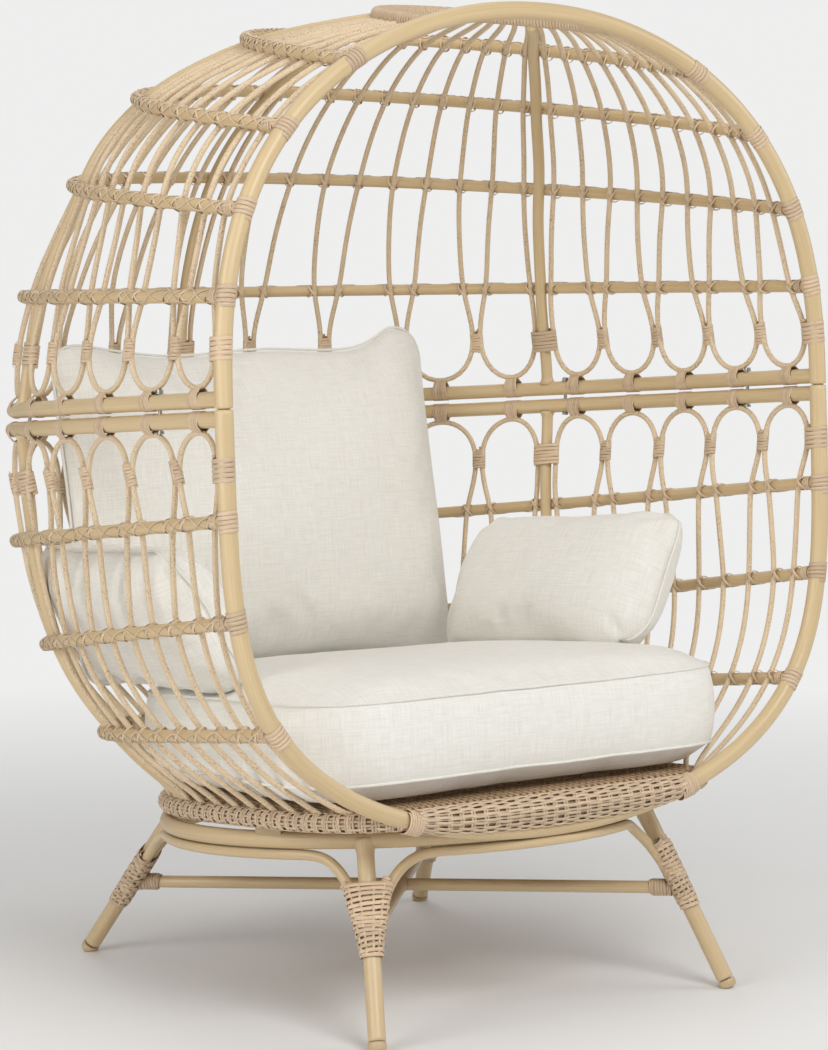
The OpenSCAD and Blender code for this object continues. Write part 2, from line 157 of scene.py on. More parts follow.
def smooth_path(points, count, passes, closed=False):
    """Rounds the corners of a path. An open path keeps its ends."""
    path = resample(points, max(count, 60), closed)
    for _ in range(passes):
        if closed:
            path = (np.roll(path, 1, 0) + 2 * path + np.roll(path, -1, 0)) / 4
        else:
            path[1:-1] = (path[:-2] + 2 * path[1:-1] + path[2:]) / 4
    return resample(path, count, closed)


# ------------------------------------------------------------------ cage surface
def hoop_y(z):
    """y of the leaning front hoop, before ORIGIN_Y is added."""
    return -.3375 + .051 * (z - 1)


def hoop_half_width(z):
    if z >= SEAM_Z:
        share = ((z - SEAM_Z) / (RINGS_TOP - SEAM_Z)) ** HOOP_POWER["upper"]
    else:
        share = ((SEAM_Z - z) / (SEAM_Z - HOOP_BOTTOM)) ** HOOP_POWER["lower"]
    return HOOP_HALF * math.sqrt(max(0, 1 - share))


def station(table, u):
    """Catmull-Rom blend between the rows of a station table."""
    i = int(max(0, min(len(table) - 2, math.floor(u))))
    t = u - i
    row, after = table[i], table[i + 1]
    before = table[i - 1] if i > 0 else 2 * row - after
    beyond = table[i + 2] if i + 2 < len(table) else 2 * after - row
    return .5 * (2 * row + (after - before) * t
                 + (2 * before - 5 * row + 4 * after - beyond) * t * t
                 + (3 * row - before - 3 * after + beyond) * t ** 3)


def ring_curve(row):
    """Superellipse through both sides of the hoop, blunter or rounder behind its widest line."""
    height, rise, rear, widest, front_power, rear_power = row[:6]
    front = hoop_y(height)
    middle = front + widest * (rear - front)
    depth = rear - middle
    cut = (middle - front) / depth
    half_width = hoop_half_width(height) / (1 - cut ** front_power) ** (1 / front_power)
    start = -math.asin(cut ** (front_power / 2))
    angle = np.linspace(start, math.pi - start, 600)
    power = 2 / np.where(np.sin(angle) < 0, front_power, rear_power)
    x = half_width * signed_power(np.cos(angle), power)
    y = middle + depth * signed_power(np.sin(angle), power)
    return np.stack([x, y + ORIGIN_Y, height + rise * (y - front)], -1)


ring_cache = {}


def ring_at(half, u):
    """Points of a ring, their shares of its length, that length, and the quarter share."""
    key = (half, round(u, 5))
    if key not in ring_cache:
        row = station(STATIONS[half], u)
        points = ring_curve(row)
        length = arc_lengths(points)
        ring_cache[key] = (points, length / length[-1], length[-1], row[6])
    return ring_cache[key]


def cage(half, u, f):
    points, shares, _, quarter = ring_at(half, u)
    at = np.interp(np.atleast_1d(f), [0, .25, .5, .75, 1], [0, quarter, .5, 1 - quarter, 1])
    return interpolate(at, shares, points)


def cage_path(half, u, count):
    return cage(half, u, np.linspace(0, 1, count))


def outward(points):
    """Normals of the ellipsoid that stands in for the cage."""
    return unit((np.atleast_2d(points) - (0, ORIGIN_Y + .18, .95)) / (.36, .30, .40))


def local(half, u, f):
    """Point, ring tangent, outward normal and upward direction at a place on the cage."""
    step = .004
    point = cage(half, u, f)[0]
    tangent = unit(cage(half, u, min(1, f + step))[0] - cage(half, u, max(0, f - step))[0])
    normal = square_to(outward(point)[0], tangent)
    return point, tangent, normal, facing_up(np.cross(tangent, normal))


def ring_sides(points):
    """Outward normals along a ring, and the directions square to both ring and normal."""
    tangent = unit(np.gradient(points, axis=0))
    normal = square_to(outward(points), tangent)
    return normal, np.cross(tangent, normal)


def hoop_path(half, count=420):
    sign, end = (1, HOOP_TOP) if half == "upper" else (-1, HOOP_BOTTOM)
    # points crowd towards the seam, where the curve turns fastest
    share = np.linspace(0, 1, 4000) ** 2.2 * .5
    angle = math.pi * np.r_[share, 1 - share[::-1][1:]]
    climb = abs(end - SEAM_Z) * np.sin(angle) ** (2 / HOOP_POWER[half])
    z = SEAM_Z + sign * np.maximum(climb, .002)
    return resample(np.stack([HOOP_HALF * np.cos(angle), hoop_y(z) + ORIGIN_Y, z], -1), count)


HOOPS = {half: hoop_path(half) for half in STATIONS}


def hoop_near(half, point, reach):
    """Nearest point of the hoop, and its direction measured over some points each way."""
    hoop = HOOPS[half]
    i = int(np.argmin(np.linalg.norm(hoop - point, axis=1)))
    return hoop[i], unit(hoop[min(i + reach, len(hoop) - 1)] - hoop[max(i - reach, 0)])


# ------------------------------------------------------------------ strand meshes
def circle(radius, sides):
    angle = full_turn(sides)
    return np.stack([np.cos(angle) * radius, np.sin(angle) * radius], -1)


def strip(width, thick, sides=8):
    """Flat section with rounded edges, thick along the normal."""
    angle = full_turn(sides)
    return np.stack([signed_power(np.cos(angle), 2 / 2.2) * thick / 2,
                     signed_power(np.sin(angle), 2 / 4) * width / 2], -1)


def path_axes(points, normal, closed):
    """Tangent, normal and side along a path. Without a normal, one is carried along."""
    if closed:
        tangent = unit(np.roll(points, -1, 0) - np.roll(points, 1, 0))
    else:
        tangent = unit(np.gradient(points, axis=0))
    if normal is None:
        start = [0, 0, 1] if abs(tangent[0][2]) < .9 else [1, 0, 0]
        carried = [square_to(start, tangent[0])]
        for direction in tangent[1:]:
            carried.append(square_to(carried[-1], direction))
        normal = np.array(carried)
    side = unit(np.cross(tangent, np.broadcast_to(normal, points.shape)))
    return tangent, np.cross(side, tangent), side


CORNERS = ((0, 0), (0, 1), (1, 1), (1, 0))      # row and column steps round a quad


class Strands:
    """Gathers strands into one mesh, with a length and girth UV and a tone for each strand."""

    def __init__(self):
        self.points, self.quads, self.tris, self.uvs, self.tones = [], [], [], [], []
        self.count = 0

    def add(self, points, quads, tris, uvs, tone):
        self.points.append(points)
        self.quads.append(quads + self.count)
        self.tris.append(np.array(tris, int).reshape(-1, 3) + self.count)
        self.uvs.append(uvs)
        self.tones.append(np.full(len(points), tone))
        self.count += len(points)

    def sweep(self, points, profile, normal=None, closed=False, scale=None, tone=None):
        """Sweeps a section along a path. The scale has one or two factors for each point."""
        points = np.asarray(points, float)
        n, k = len(points), len(profile)
        tangent, normal, side = path_axes(points, normal, closed)
        scale = np.ones(n) if scale is None else np.asarray(scale)
        if scale.ndim == 1:
            scale = scale[:, None]
        section = profile[None] * scale[:, None]
        vertices = (points[:, None] + normal[:, None] * section[..., :1]
                    + side[:, None] * section[..., 1:]).reshape(-1, 3)
        length = arc_lengths(np.vstack([points, points[:1]]) if closed else points)
        girth = np.linalg.norm(profile - np.roll(profile, 1, 0), axis=1).sum()
        row = np.arange(n if closed else n - 1)[:, None]
        column = np.arange(k)[None]
        quads = np.stack([(row + i) % n * k + (column + j) % k for i, j in CORNERS], -1)
        uvs = np.stack([np.stack(np.broadcast_arrays(length[row + i], (column + j) * girth / k), -1)
                        for i, j in CORNERS], 2)
        tris = []
        if not closed:
            # a low cone on each end
            for end, sign in ((0, -1), (n - 1, 1)):
                tip = points[end] + tangent[end] * sign * np.abs(section[end]).max() * .35
                vertices = np.vstack([vertices, tip])
            for i in range(k):
                j = (i + 1) % k
                last = (n - 1) * k
                tris += [(n * k, j, i), (n * k + 1, last + i, last + j)]
        tone = rng.random() if tone is None else tone
        self.add(vertices, quads.reshape(-1, 4), tris, uvs.reshape(-1, 4, 2), tone)

    def wrap(self, centre, axis, first, half_a, half_b, turns, pitch, width, thick,
             segments=18, phase=0.0, wobble=0.0):
        """Flat strip wound round an oval, half_a along the first direction, half_b across it."""
        axis = unit(axis)
        first = square_to(first, axis)
        second = np.cross(axis, first)
        angle = np.linspace(0, TAU * turns, int(segments * turns) + 1) + phase
        turn = (angle - angle[0]) / TAU - turns / 2
        draw = rng.random(8) * 9
        wave = wobble * (np.sin(angle * 1.7 + draw[0]) + np.sin(angle * 2.9 + draw[1])) * .5
        # both ends are tucked under
        to_end = np.minimum(angle - angle[0], angle[-1] - angle) / (.13 * TAU)
        out = thick / 2 - (1 - np.clip(to_end, 0, 1)) ** 2 * (thick + .0014)
        cos, sin = np.cos(angle), np.sin(angle)
        points = (centre + along(axis, turn * pitch + wave)
                  + in_plane(first, second, (half_a + out) * cos, (half_b + out) * sin))
        normal = in_plane(first, second, cos / half_a, sin / half_b)
        scale = np.ones(len(angle))
        scale[[0, -1]] = .6
        self.sweep(points, strip(width, thick), normal, scale=scale)

    def mesh(self, name, material, *replaced, body="frame"):
        points, quads, tris = (np.vstack(x) for x in (self.points, self.quads, self.tris))
        loops = quads.size + tris.size
        mesh = bpy.data.meshes.new(name)
        mesh.vertices.add(len(points))
        mesh.vertices.foreach_set("co", points.astype(np.float32).ravel())
        mesh.loops.add(loops)
        corners = np.r_[quads.ravel(), tris.ravel()].astype(np.int32)
        mesh.loops.foreach_set("vertex_index", corners)
        mesh.polygons.add(len(quads) + len(tris))
        starts = np.r_[np.arange(len(quads)) * 4, quads.size + np.arange(len(tris)) * 3]
        mesh.polygons.foreach_set("loop_start", starts.astype(np.int32))
        mesh.update(calc_edges=True)
        mesh.validate()
        layer = mesh.uv_layers.new(name="UVMap")
        uvs = np.zeros((loops, 2), np.float32)
        uvs[:quads.size] = np.concatenate(self.uvs).reshape(-1, 2)
        # validation may drop a bad face, and the list would no longer fit
        if len(layer.data) == loops:
            layer.data.foreach_set("uv", uvs.ravel())
        tones = mesh.attributes.new("rnd", "FLOAT", "POINT")
        tones.data.foreach_set("value", np.concatenate(self.tones).astype(np.float32))
        mesh.polygons.foreach_set("use_smooth", np.ones(len(mesh.polygons), bool))
        obj = bpy.data.objects.new(name, mesh)
        bpy.context.scene.collection.objects.link(obj)
        mesh.materials.append(material)
        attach(obj, body)
        if replaced:
            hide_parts(*replaced)


def name_tone(name):
    """A fixed tone worked out from a name."""
    return sum((i + 3) * ord(c) for i, c in enumerate(name)) % 97 / 97


def tube(name, points, radius, material, replaced, sides=20, tone=None, **sweep):
    """One round tube as an object of its own."""
    strands = Strands()
    tone = name_tone(name) if tone is None else tone
    strands.sweep(points, circle(radius, sides), tone=tone, **sweep)
    strands.mesh(name, material, replaced)


# ------------------------------------------------------------------ materials
class Shader:
    """Short helpers for building a node material."""

    def __init__(self, name):
        self.material = bpy.data.materials.new(name)
        self.material.use_nodes = True
        self.tree = self.material.node_tree
        self.surface = self.tree.nodes["Principled BSDF"]

    def plug(self, socket, value):
        if isinstance(value, bpy.types.NodeSocket):
            self.tree.links.new(value, socket)
        else:
            socket.default_value = value

    def node(self, kind, inputs=None, **settings):
        node = self.tree.nodes.new(kind)
        for key, value in settings.items():
            setattr(node, key, value)
        for key, value in (inputs or {}).items():
            self.plug(node.inputs[key], value)
        return node

    def math(self, operation, a, b=0.0):
        return self.node("ShaderNodeMath", {0: a, 1: b}, operation=operation).outputs[0]

    def vary(self, value, by, base):
        inputs = {0: value, 1: by, 2: base}
        return self.node("ShaderNodeMath", inputs, operation="MULTIPLY_ADD").outputs[0]

    def vector(self, operation, a, b):
        return self.node("ShaderNodeVectorMath", {0: a, 1: b}, operation=operation).outputs[0]

    def mix(self, factor, low, high, blend="MIX"):
        """Colours are sockets or linear (r, g, b)."""
        node = self.node("ShaderNodeMix", data_type="RGBA", blend_type=blend)
        values = {"Factor_Float": factor, "A_Color": low, "B_Color": high}
        for key, value in values.items():
            socket = next(i for i in node.inputs if i.identifier == key)
            self.plug(socket, (*value, 1) if isinstance(value, tuple) else value)
        return next(o for o in node.outputs if o.identifier == "Result_Color")

    def ramp(self, factor, *stops):
        """Stops are (position, grey)."""
        node = self.node("ShaderNodeValToRGB", {0: factor})
        elements = node.color_ramp.elements
        while len(elements) < len(stops):
            elements.new(0.5)
        for element, (position, grey) in zip(elements, stops):
            element.position = position
            element.color = (grey, grey, grey, 1)
        return node.outputs[0]

    def noise(self, vector, scale=1.0, detail=3.0, rough=.55):
        inputs = {"Scale": scale, "Detail": detail, "Roughness": rough, "Vector": vector}
        return self.node("ShaderNodeTexNoise", inputs).outputs[0]

    def set(self, **values):
        """Sets inputs of the surface, with _ for each space in their names."""
        for key, value in values.items():
            self.plug(self.surface.inputs[key.replace("_", " ")], value)

    def bump(self, height, strength, distance):
        inputs = {"Height": height, "Strength": strength, "Distance": distance}
        return self.node("ShaderNodeBump", inputs).outputs[0]

    def painted_crevice_shade(self, colour, distance=.005, low=.55):
        """Paints shade into a colour where surfaces close in on each other."""
        node = self.node("ShaderNodeAmbientOcclusion", {"Distance": distance}, samples=6)
        shade = self.ramp(node.outputs["AO"], (.15, low), (.78, 1.0))
        return self.mix(1.0, colour, shade, "MULTIPLY")

    def strand_uv(self, length, girth):
        """Strand coordinates, scaled, and shifted by the strand's tone; and that tone."""
        uv = self.node("ShaderNodeUVMap", uv_map="UVMap").outputs[0]
        tone = self.node("ShaderNodeAttribute", attribute_name="rnd",
                         attribute_type="GEOMETRY").outputs["Fac"]
        shifts = [self.math("MULTIPLY", tone, by) for by in (31.7, 17.3, 7.9)]
        shift = self.node("ShaderNodeCombineXYZ", dict(enumerate(shifts))).outputs[0]
        scaled = self.vector("MULTIPLY", uv, (length, girth, 1))
        return self.vector("ADD", scaled, shift), tone

    def strand_noise(self, length, girth, detail=2.0, rough=.5):
        """Noise with its own frequencies along the length and the girth of a strand."""
        return self.noise(self.strand_uv(length, girth)[0], detail=detail, rough=rough)


def rgb(*levels):
    """Linear colour from display levels of 0 to 255."""
    return tuple(((level / 255 + .055) / 1.055) ** 2.4 for level in levels)


def tinted(colour, factor):
    return tuple(np.minimum(1, np.multiply(colour, factor)))


def tube_material(name, light, dark, rough=.36):
    """Cane with long grain, wide bands, faint clouds, paler worn edges and painted shade in its
    crevices.
    """
    m = Shader(name)
    grain = m.strand_noise(length=5.0, girth=420.0, detail=4.0, rough=.62)
    band = m.strand_noise(length=2.2, girth=60.0)
    cloud = m.strand_noise(length=9.0, girth=9.0)
    figure = m.math("ADD", m.math("MULTIPLY", grain, .55), m.math("MULTIPLY", band, .45))
    colour = m.mix(m.ramp(figure, (.34, 0), (.66, 1)), dark, light)
    colour = m.mix(m.ramp(cloud, (.35, 0), (.75, .35)), colour, tinted(light, .86))
    edge = m.node("ShaderNodeNewGeometry").outputs["Pointiness"]
    colour = m.mix(m.ramp(edge, (.50, 0), (.60, .35)), colour, tinted(light, 1.12))
    roughness = m.vary(grain, by=.18, base=rough - .06)
    # the base colour is darkened by ambient occlusion: painted shade in the crevices
    m.set(Base_Color=m.painted_crevice_shade(colour, distance=.007, low=.5), Roughness=roughness,
          Coat_Weight=.18, Coat_Roughness=.3,
          Normal=m.bump(figure, strength=.22, distance=.0006))
    return m.material


def rod_material():
    """Pale rod with patches of short dark dashes."""
    m = Shader("speckled_rod")
    grain = m.strand_noise(length=14.0, girth=300.0, detail=3.0, rough=.6)
    dash = m.strand_noise(length=300.0, girth=620.0)
    patch = m.strand_noise(length=30.0, girth=30.0, detail=1.0)
    speckle = m.math("MULTIPLY", m.ramp(dash, (.54, 0), (.66, 1)),
                     m.ramp(patch, (.36, .3), (.60, 1.0)))
    colour = m.mix(grain, rgb(208, 184, 149), rgb(234, 213, 181))
    colour = m.mix(m.math("MULTIPLY", speckle, .72), colour, rgb(142, 106, 74))
    roughness = m.vary(grain, by=.2, base=.44)
    height = m.math("SUBTRACT", grain, m.math("MULTIPLY", speckle, .5))
    m.set(Base_Color=colour, Roughness=roughness, Coat_Weight=.08, Coat_Roughness=.4,
          Normal=m.bump(height, strength=.25, distance=.0005))
    return m.material


def strip_material(name, light, dark, deep, rough=.46):
    """Flat strip with fine grain, a tone for each strand, deep clouds, brown specks and painted
    shade in its crevices.
    """
    m = Shader(name)
    uv, tone = m.strand_uv(length=9.0, girth=900.0)
    grain = m.noise(uv, rough=.6)
    cloud = m.strand_noise(length=26.0, girth=26.0, detail=3.0, rough=.55)
    specks = m.ramp(m.strand_noise(length=120.0, girth=500.0), (.66, 0), (.74, .5))
    colour = m.mix(m.ramp(grain, (.3, 0), (.7, 1)), dark, light)
    shade = m.ramp(tone, (0, .82), (.5, .97), (1, 1.06))
    colour = m.mix(1.0, colour, shade, "MULTIPLY")
    colour = m.mix(m.ramp(cloud, (.3, 0), (.8, .28)), colour, deep)
    colour = m.mix(specks, colour, rgb(150, 112, 74))
    # the base colour is darkened by ambient occlusion: painted shade in the crevices
    m.set(Base_Color=m.painted_crevice_shade(colour), Roughness=m.vary(grain, by=.2, base=rough - .06),
          Coat_Weight=.06, Coat_Roughness=.4,
          Normal=m.bump(grain, strength=.3, distance=.0004))
    return m.material


def linen_material(name, tint=(1, 1, 1)):
    """Woven cloth with crossing yarns, slubs and faint clouds."""
    thread_wave = TAU / .0014
    m = Shader(name)
    uv = m.node("ShaderNodeUVMap", uv_map="UVMap").outputs[0]

    def yarn_noise(u, v, detail, rough):
        return m.noise(m.vector("MULTIPLY", uv, (u, v, 1)), detail=detail, rough=rough)
    warp = yarn_noise(620, 26, detail=3.0, rough=.6)
    weft = yarn_noise(26, 560, detail=3.0, rough=.6)
    warp_slub = yarn_noise(210, 7, detail=2.0, rough=.5)
    weft_slub = yarn_noise(7, 180, detail=2.0, rough=.5)
    cloud = yarn_noise(6, 6, detail=4.0, rough=.6)
    threads = m.vector("MULTIPLY", uv, (thread_wave, thread_wave, 1))
    split = m.node("ShaderNodeSeparateXYZ", {0: threads})
    weave = m.math("MULTIPLY", m.math("SINE", split.outputs[0]), m.math("SINE", split.outputs[1]))
    yarn = m.math("ADD", warp, weft)
    slub = m.math("ADD", m.ramp(warp_slub, (.52, 0), (.78, 1)),
                  m.ramp(weft_slub, (.52, 0), (.78, 1)))
    colour = m.mix(m.ramp(m.math("MULTIPLY", yarn, .5), (.34, 0), (.62, 1)),
                   tinted(rgb(229, 226, 216), tint), tinted(rgb(246, 245, 241), tint))
    colour = m.mix(m.math("MULTIPLY", slub, .16), colour, rgb(216, 209, 192))
    colour = m.mix(m.ramp(cloud, (.3, 0), (.8, .16)), colour, rgb(232, 227, 216))
    relief = m.math("ADD", m.math("MULTIPLY", yarn, .6),
                    m.math("ADD", m.math("MULTIPLY", weave, .22), m.math("MULTIPLY", slub, .35)))
    m.set(Base_Color=colour, Roughness=.88, Sheen_Weight=.22, Sheen_Roughness=.5,
          Specular_IOR_Level=.25, Normal=m.bump(relief, strength=.34, distance=.0008))
    return m.material


def simple_material(name, light, dark, rough, metal=0.0, scale=240.0, bump=.15):
    m = Shader(name)
    place = m.node("ShaderNodeTexCoord").outputs["Object"]
    fine = m.noise(place, scale=scale, detail=4.0, rough=.6)
    broad = m.noise(place, scale=scale / 12, detail=2.0, rough=.5)
    blend = m.vary(fine, by=.5, base=m.math("MULTIPLY", broad, .5))
    m.set(Base_Color=m.mix(blend, dark, light), Metallic=metal,
          Roughness=m.vary(fine, by=.2, base=rough - .08),
          Normal=m.bump(fine, strength=bump, distance=.0004))
    return m.material


TUBE = tube_material("cane_tube", light=rgb(220, 196, 154), dark=rgb(198, 171, 126))
RIB = tube_material("cane_rib", light=rgb(216, 190, 146), dark=rgb(192, 163, 117), rough=.4)
STAND = tube_material("cane_stand", light=rgb(218, 194, 154), dark=rgb(196, 169, 126))
ROD = rod_material()
BINDING = strip_material("binding", light=rgb(226, 202, 172), dark=rgb(204, 176, 144),
                         deep=rgb(192, 160, 126))
LASHING = strip_material("lashing", light=rgb(232, 210, 180), dark=rgb(212, 186, 152),
                         deep=rgb(196, 164, 128))
WEAVE = strip_material("weave", light=rgb(230, 207, 178), dark=rgb(204, 177, 146),
                       deep=rgb(180, 149, 116), rough=.5)
DECK = strip_material("weave_deck", light=rgb(206, 178, 144), dark=rgb(176, 144, 110),
                      deep=rgb(150, 118, 86), rough=.55)
FOOT = simple_material("foot_plastic", light=rgb(206, 184, 146), dark=rgb(190, 166, 128),
                       rough=.42)
PAD = simple_material("pad_plastic", light=rgb(196, 176, 138), dark=rgb(176, 154, 116), rough=.5)
STEEL = simple_material("steel", light=rgb(200, 198, 192), dark=rgb(150, 148, 142), rough=.32,
                        metal=1.0, scale=500.0, bump=.1)
LINEN = linen_material("linen")
PIPING = linen_material("linen_piping", tint=(.97, .965, .95))


# ------------------------------------------------------------------ hoops, rails, tubes, ribs
def rear_inset(u):
    """Rear tubes meet the seam rail in line with it and run just inside the ribs."""
    return .012 * ease(u, 0, .9)


def rear_tube(side, f, half):
    stations = np.linspace(.055, LAST[half], 90)
    points = np.vstack([cage(half, u, f) for u in stations])
    points = resample(points - along(outward(points), rear_inset(stations)), 160)
    # the weld fillet on the seam rail
    near = np.clip(1 - (arc_lengths(points) - .002) / .011, 0, 1)
    tube(f"rear_tube_{half}_{side}_bar", points, REAR_R, TUBE, f"rear_tube_{half}_{side}",
         tone=name_tone(side + half), scale=1 + .42 * near ** 2.4)


for half in STATIONS:
    tube(f"hoop_{half}_tube", HOOPS[half], HOOP_R, TUBE, f"hoop_{half}")
for half in STATIONS:
    tube(f"seam_rail_{half}_tube", cage_path(half, 0, 340), RAIL_R, TUBE, f"seam_rail_{half}")
tube("top_rail_tube", cage_path("upper", 5, 120), TOP_RAIL_R, RIB, "top_rail", sides=14)
for side, f in (("right", .25), ("centre", .5), ("left", .75)):
    for half in STATIONS:
        rear_tube(side, f, half)
for name, half, u in RIBS:
    tube(name + "_tube", cage_path(half, u, 300), RIB_R, RIB, name, sides=14)

# ------------------------------------------------------------------ looped rods
TIE_U, TURN_U = .49, .10        # stations where neighbours are tied, and where a loop turns


def spread(u):
    """How far each rod of a loop stands from its middle, as a share of the loop pitch."""
    if u >= 2:
        return .25
    if u >= 1:
        return .25 + .08 * (2 - u)
    return .33 + .135 * math.sin(math.pi / 2 * min(1, (1 - u) / (1 - TIE_U)))


def rod_inset(u):
    """How far inside the cage surface a rod runs."""
    return .0025 + .008 * ease(u, .45, .5)


def clear_share(i, share):
    """Moves the outermost rods clear of the hoop, and others clear of the rear tubes."""
    if i == 0 and share < 0:
        return share + .117
    if i == LOOPS - 1 and share > 0:
        return share - .117
    if i % 5 == 4 and share > 0:
        return min(share, .36)
    if i % 5 == 0 and share < 0:
        return max(share, -.36)
    return share


def rod_at(half, i, share, u):
    point = cage(half, u, (i + .5 + share) / LOOPS)
    return (point - outward(point) * rod_inset(u))[0]


def rod_beside(half, i, sign, u):
    """Point of one of the two rods of a loop; the first (sign -1) is nearer f = 0."""
    return rod_at(half, i, clear_share(i, sign * spread(u)), u)


def loop_path(half, i):
    end = LAST[half]
    stations = np.r_[np.linspace(end, 1, int((end - 1) * 9)), np.linspace(1, TIE_U, 14)[1:]]
    first = [rod_beside(half, i, -1, u) for u in stations]
    second = [rod_beside(half, i, 1, u) for u in stations[::-1]]
    low, high = (clear_share(i, sign * spread(TIE_U)) for sign in (-1, 1))
    turn = []
    for angle in np.linspace(0, math.pi, 27)[1:-1]:
        share = math.cos(angle) * (low if angle < math.pi / 2 else -high)
        u = TIE_U - (TIE_U - TURN_U) * math.sin(angle) ** .9
        turn.append(rod_at(half, i, share, u))
    points = smooth_path(np.array(first + turn + second), 132, 5)
    # a slight waviness, different in each loop and still at the turn
    draw = rng.normal(0, 1, 4)
    share = np.linspace(0, 1, len(points))
    wave = .0007 * (draw[0] * np.sin(share * 19 + draw[1] * 2.1)
                    + draw[2] * np.sin(share * 31 + draw[3] * 2.1))
    side = unit(np.cross(np.gradient(points, axis=0), outward(points)))
    return points + along(side, wave * np.clip(np.abs(share - .5) * 4 - .7, 0, 1))


for half in STATIONS:
    for bay, bay_name in enumerate(("front_right", "rear_right", "rear_left", "front_left")):
        strands = Strands()
        for i in range(bay * 5, bay * 5 + 5):
            strands.sweep(loop_path(half, i), circle(ROD_R, 9))
        strands.mesh(f"loops_{half}_{bay_name}_rods", ROD, f"loops_{half}_{bay_name}")


# ------------------------------------------------------------------ bindings on the cage
def hoop_tie(strands, half, end):
    """Binds the outermost rod to the hoop, at f = 0 or f = 1."""
    x, _, z = cage(half, TIE_U, end)[0]
    on_hoop = np.array([x, hoop_y(z) + ORIGIN_Y, z])
    rod = rod_beside(half, end * (LOOPS - 1), 2 * end - 1, TIE_U)
    gap = np.linalg.norm(rod - on_hoop)
    across = unit(rod - on_hoop)
    _, axis = hoop_near(half, on_hoop, 3)
    strands.wrap(on_hoop + across * (gap + ROD_R - HOOP_R) / 2, axis, across,
                 (gap + ROD_R + HOOP_R) / 2, HOOP_R + .0003, turns=5.2, pitch=.0073,
                 width=STRIP_W + .0004, thick=.0016, wobble=.0004)


def rod_tie(strands, half, i):
    """Binds the rods of neighbouring loops together, round a rear tube where one runs."""
    point, tangent, normal, rise = local(half, TIE_U, i / LOOPS)
    before = rod_beside(half, i - 1, 1, TIE_U)
    after = rod_beside(half, i, -1, TIE_U)
    centre = (before + after) / 2
    half_width = np.linalg.norm(before - after) / 2 + ROD_R
    if i % 5 == 0:
        centre = point - outward(point)[0] * rear_inset(TIE_U)
        strands.wrap(centre, rise, tangent, half_width + .0014, REAR_R + .0012, turns=6,
                     pitch=.0062, width=STRIP_W - .0004, thick=STRIP_T + .0002, wobble=.0005)
        return
    strands.wrap(centre, rise, tangent, half_width + .0016, ROD_R + .0014, turns=7,
                 pitch=.0050, width=.0050, thick=.0016, wobble=.0006)
    # the tucked end that shows above the turns
    reach = .0225
    points = [centre + rise * z + tangent * .0015 * rng.normal()
              + normal * (ROD_R + .0034 * (1 - (abs(z) / reach) ** 3) - .0006)
              for z in np.linspace(-.021, reach, 9)]
    strands.sweep(smooth_path(points, 12, 1), strip(.0045, .001), normal)


def tie_wraps(half):
    strands = Strands()
    hoop_tie(strands, half, 0)
    for i in range(1, LOOPS):
        rod_tie(strands, half, i)
    hoop_tie(strands, half, 1)
    strands.mesh(f"loop_ties_{half}_strips", BINDING, f"loop_ties_{half}")


def seam_wraps(half):
    """Six belts hold the turn of each loop to its seam rail."""
    belts, pitch = 6, .0047
    strands = Strands()
    angle = full_turn(30)
    cos, sin = np.cos(angle), np.sin(angle)
    for i in range(LOOPS):
        point, tangent, _, _ = local(half, 0, (i + .5) / LOOPS)
        to_rod = rod_at(half, i, 0.0, TURN_U) - point
        up = square_to(to_rod, tangent)
        reach = np.linalg.norm(to_rod) + ROD_R
        lean = rng.normal(0, .10) - .12
        side = np.cross(unit(tangent + up * lean * .5), up)
        long_half = (reach + RAIL_R + STRIP_T) / 2
        short_half = RAIL_R + STRIP_T / 2
        # egg section: full width round the rail, narrow over the rod
        width = short_half * (1 - .55 * np.clip(cos, 0, 1) ** 1.6)
        for j in range(belts):
            offset = (j - (belts - 1) / 2) * pitch
            # belts pinch together over the rod and fan out round the rail
            shift = offset * np.where(cos > 0, -.28 * cos, .06) + .0022 * lean * cos
            points = (point + up * (reach - RAIL_R) / 2 + along(tangent, offset + shift)
                      + in_plane(up, side, long_half * cos, width * sin))
            normal = in_plane(up, side, cos / long_half, sin / short_half)
            strands.sweep(points, strip(.0046, STRIP_T), normal, closed=True)
    strands.mesh(f"seam_wraps_{half}_strips", BINDING, f"seam_wraps_{half}")


def hoop_wraps():
    """Turns round the hoop at each rib, and the short collar on the rib beside it."""
    turns, collars = Strands(), Strands()
    collar_at = .0245
    for _, half, u in RIBS:
        for end in (0, 1):
            point, tangent, normal, rise = local(half, u, end)
            centre, axis = hoop_near(half, point, 4)
            inward = -tangent if end else tangent
            turns.wrap(centre, axis, inward, HOOP_R + .0001, HOOP_R + .0001, turns=4.6,
                       pitch=.0067, width=STRIP_W, thick=.0012, phase=rng.random(),
                       wobble=.0003)
            f = abs(end - collar_at / ring_at(half, u)[2])
            centre, axis, _, across = local(half, u, f)
            collars.wrap(centre, axis, across, RIB_R + .0005, RIB_R + .0005, turns=3.05,
                         pitch=.0052, width=.0048, thick=.0013, wobble=.0003)
            # strips that lace the collar to the hoop turns
            for sign in (-1, 1):
                places = ((.012, .010, .004), (.020, .001, RIB_R + .0014),
                          (.036, -.003, RIB_R + .0012))
                points = [point + inward * a + rise * sign * b + normal * c
                          for a, b, c in places]
                collars.sweep(smooth_path(points, 12, 4), strip(.0042, .0011), normal)
    turns.mesh("hoop_rib_wraps", BINDING)
    collars.mesh("rib_end_collars", BINDING)


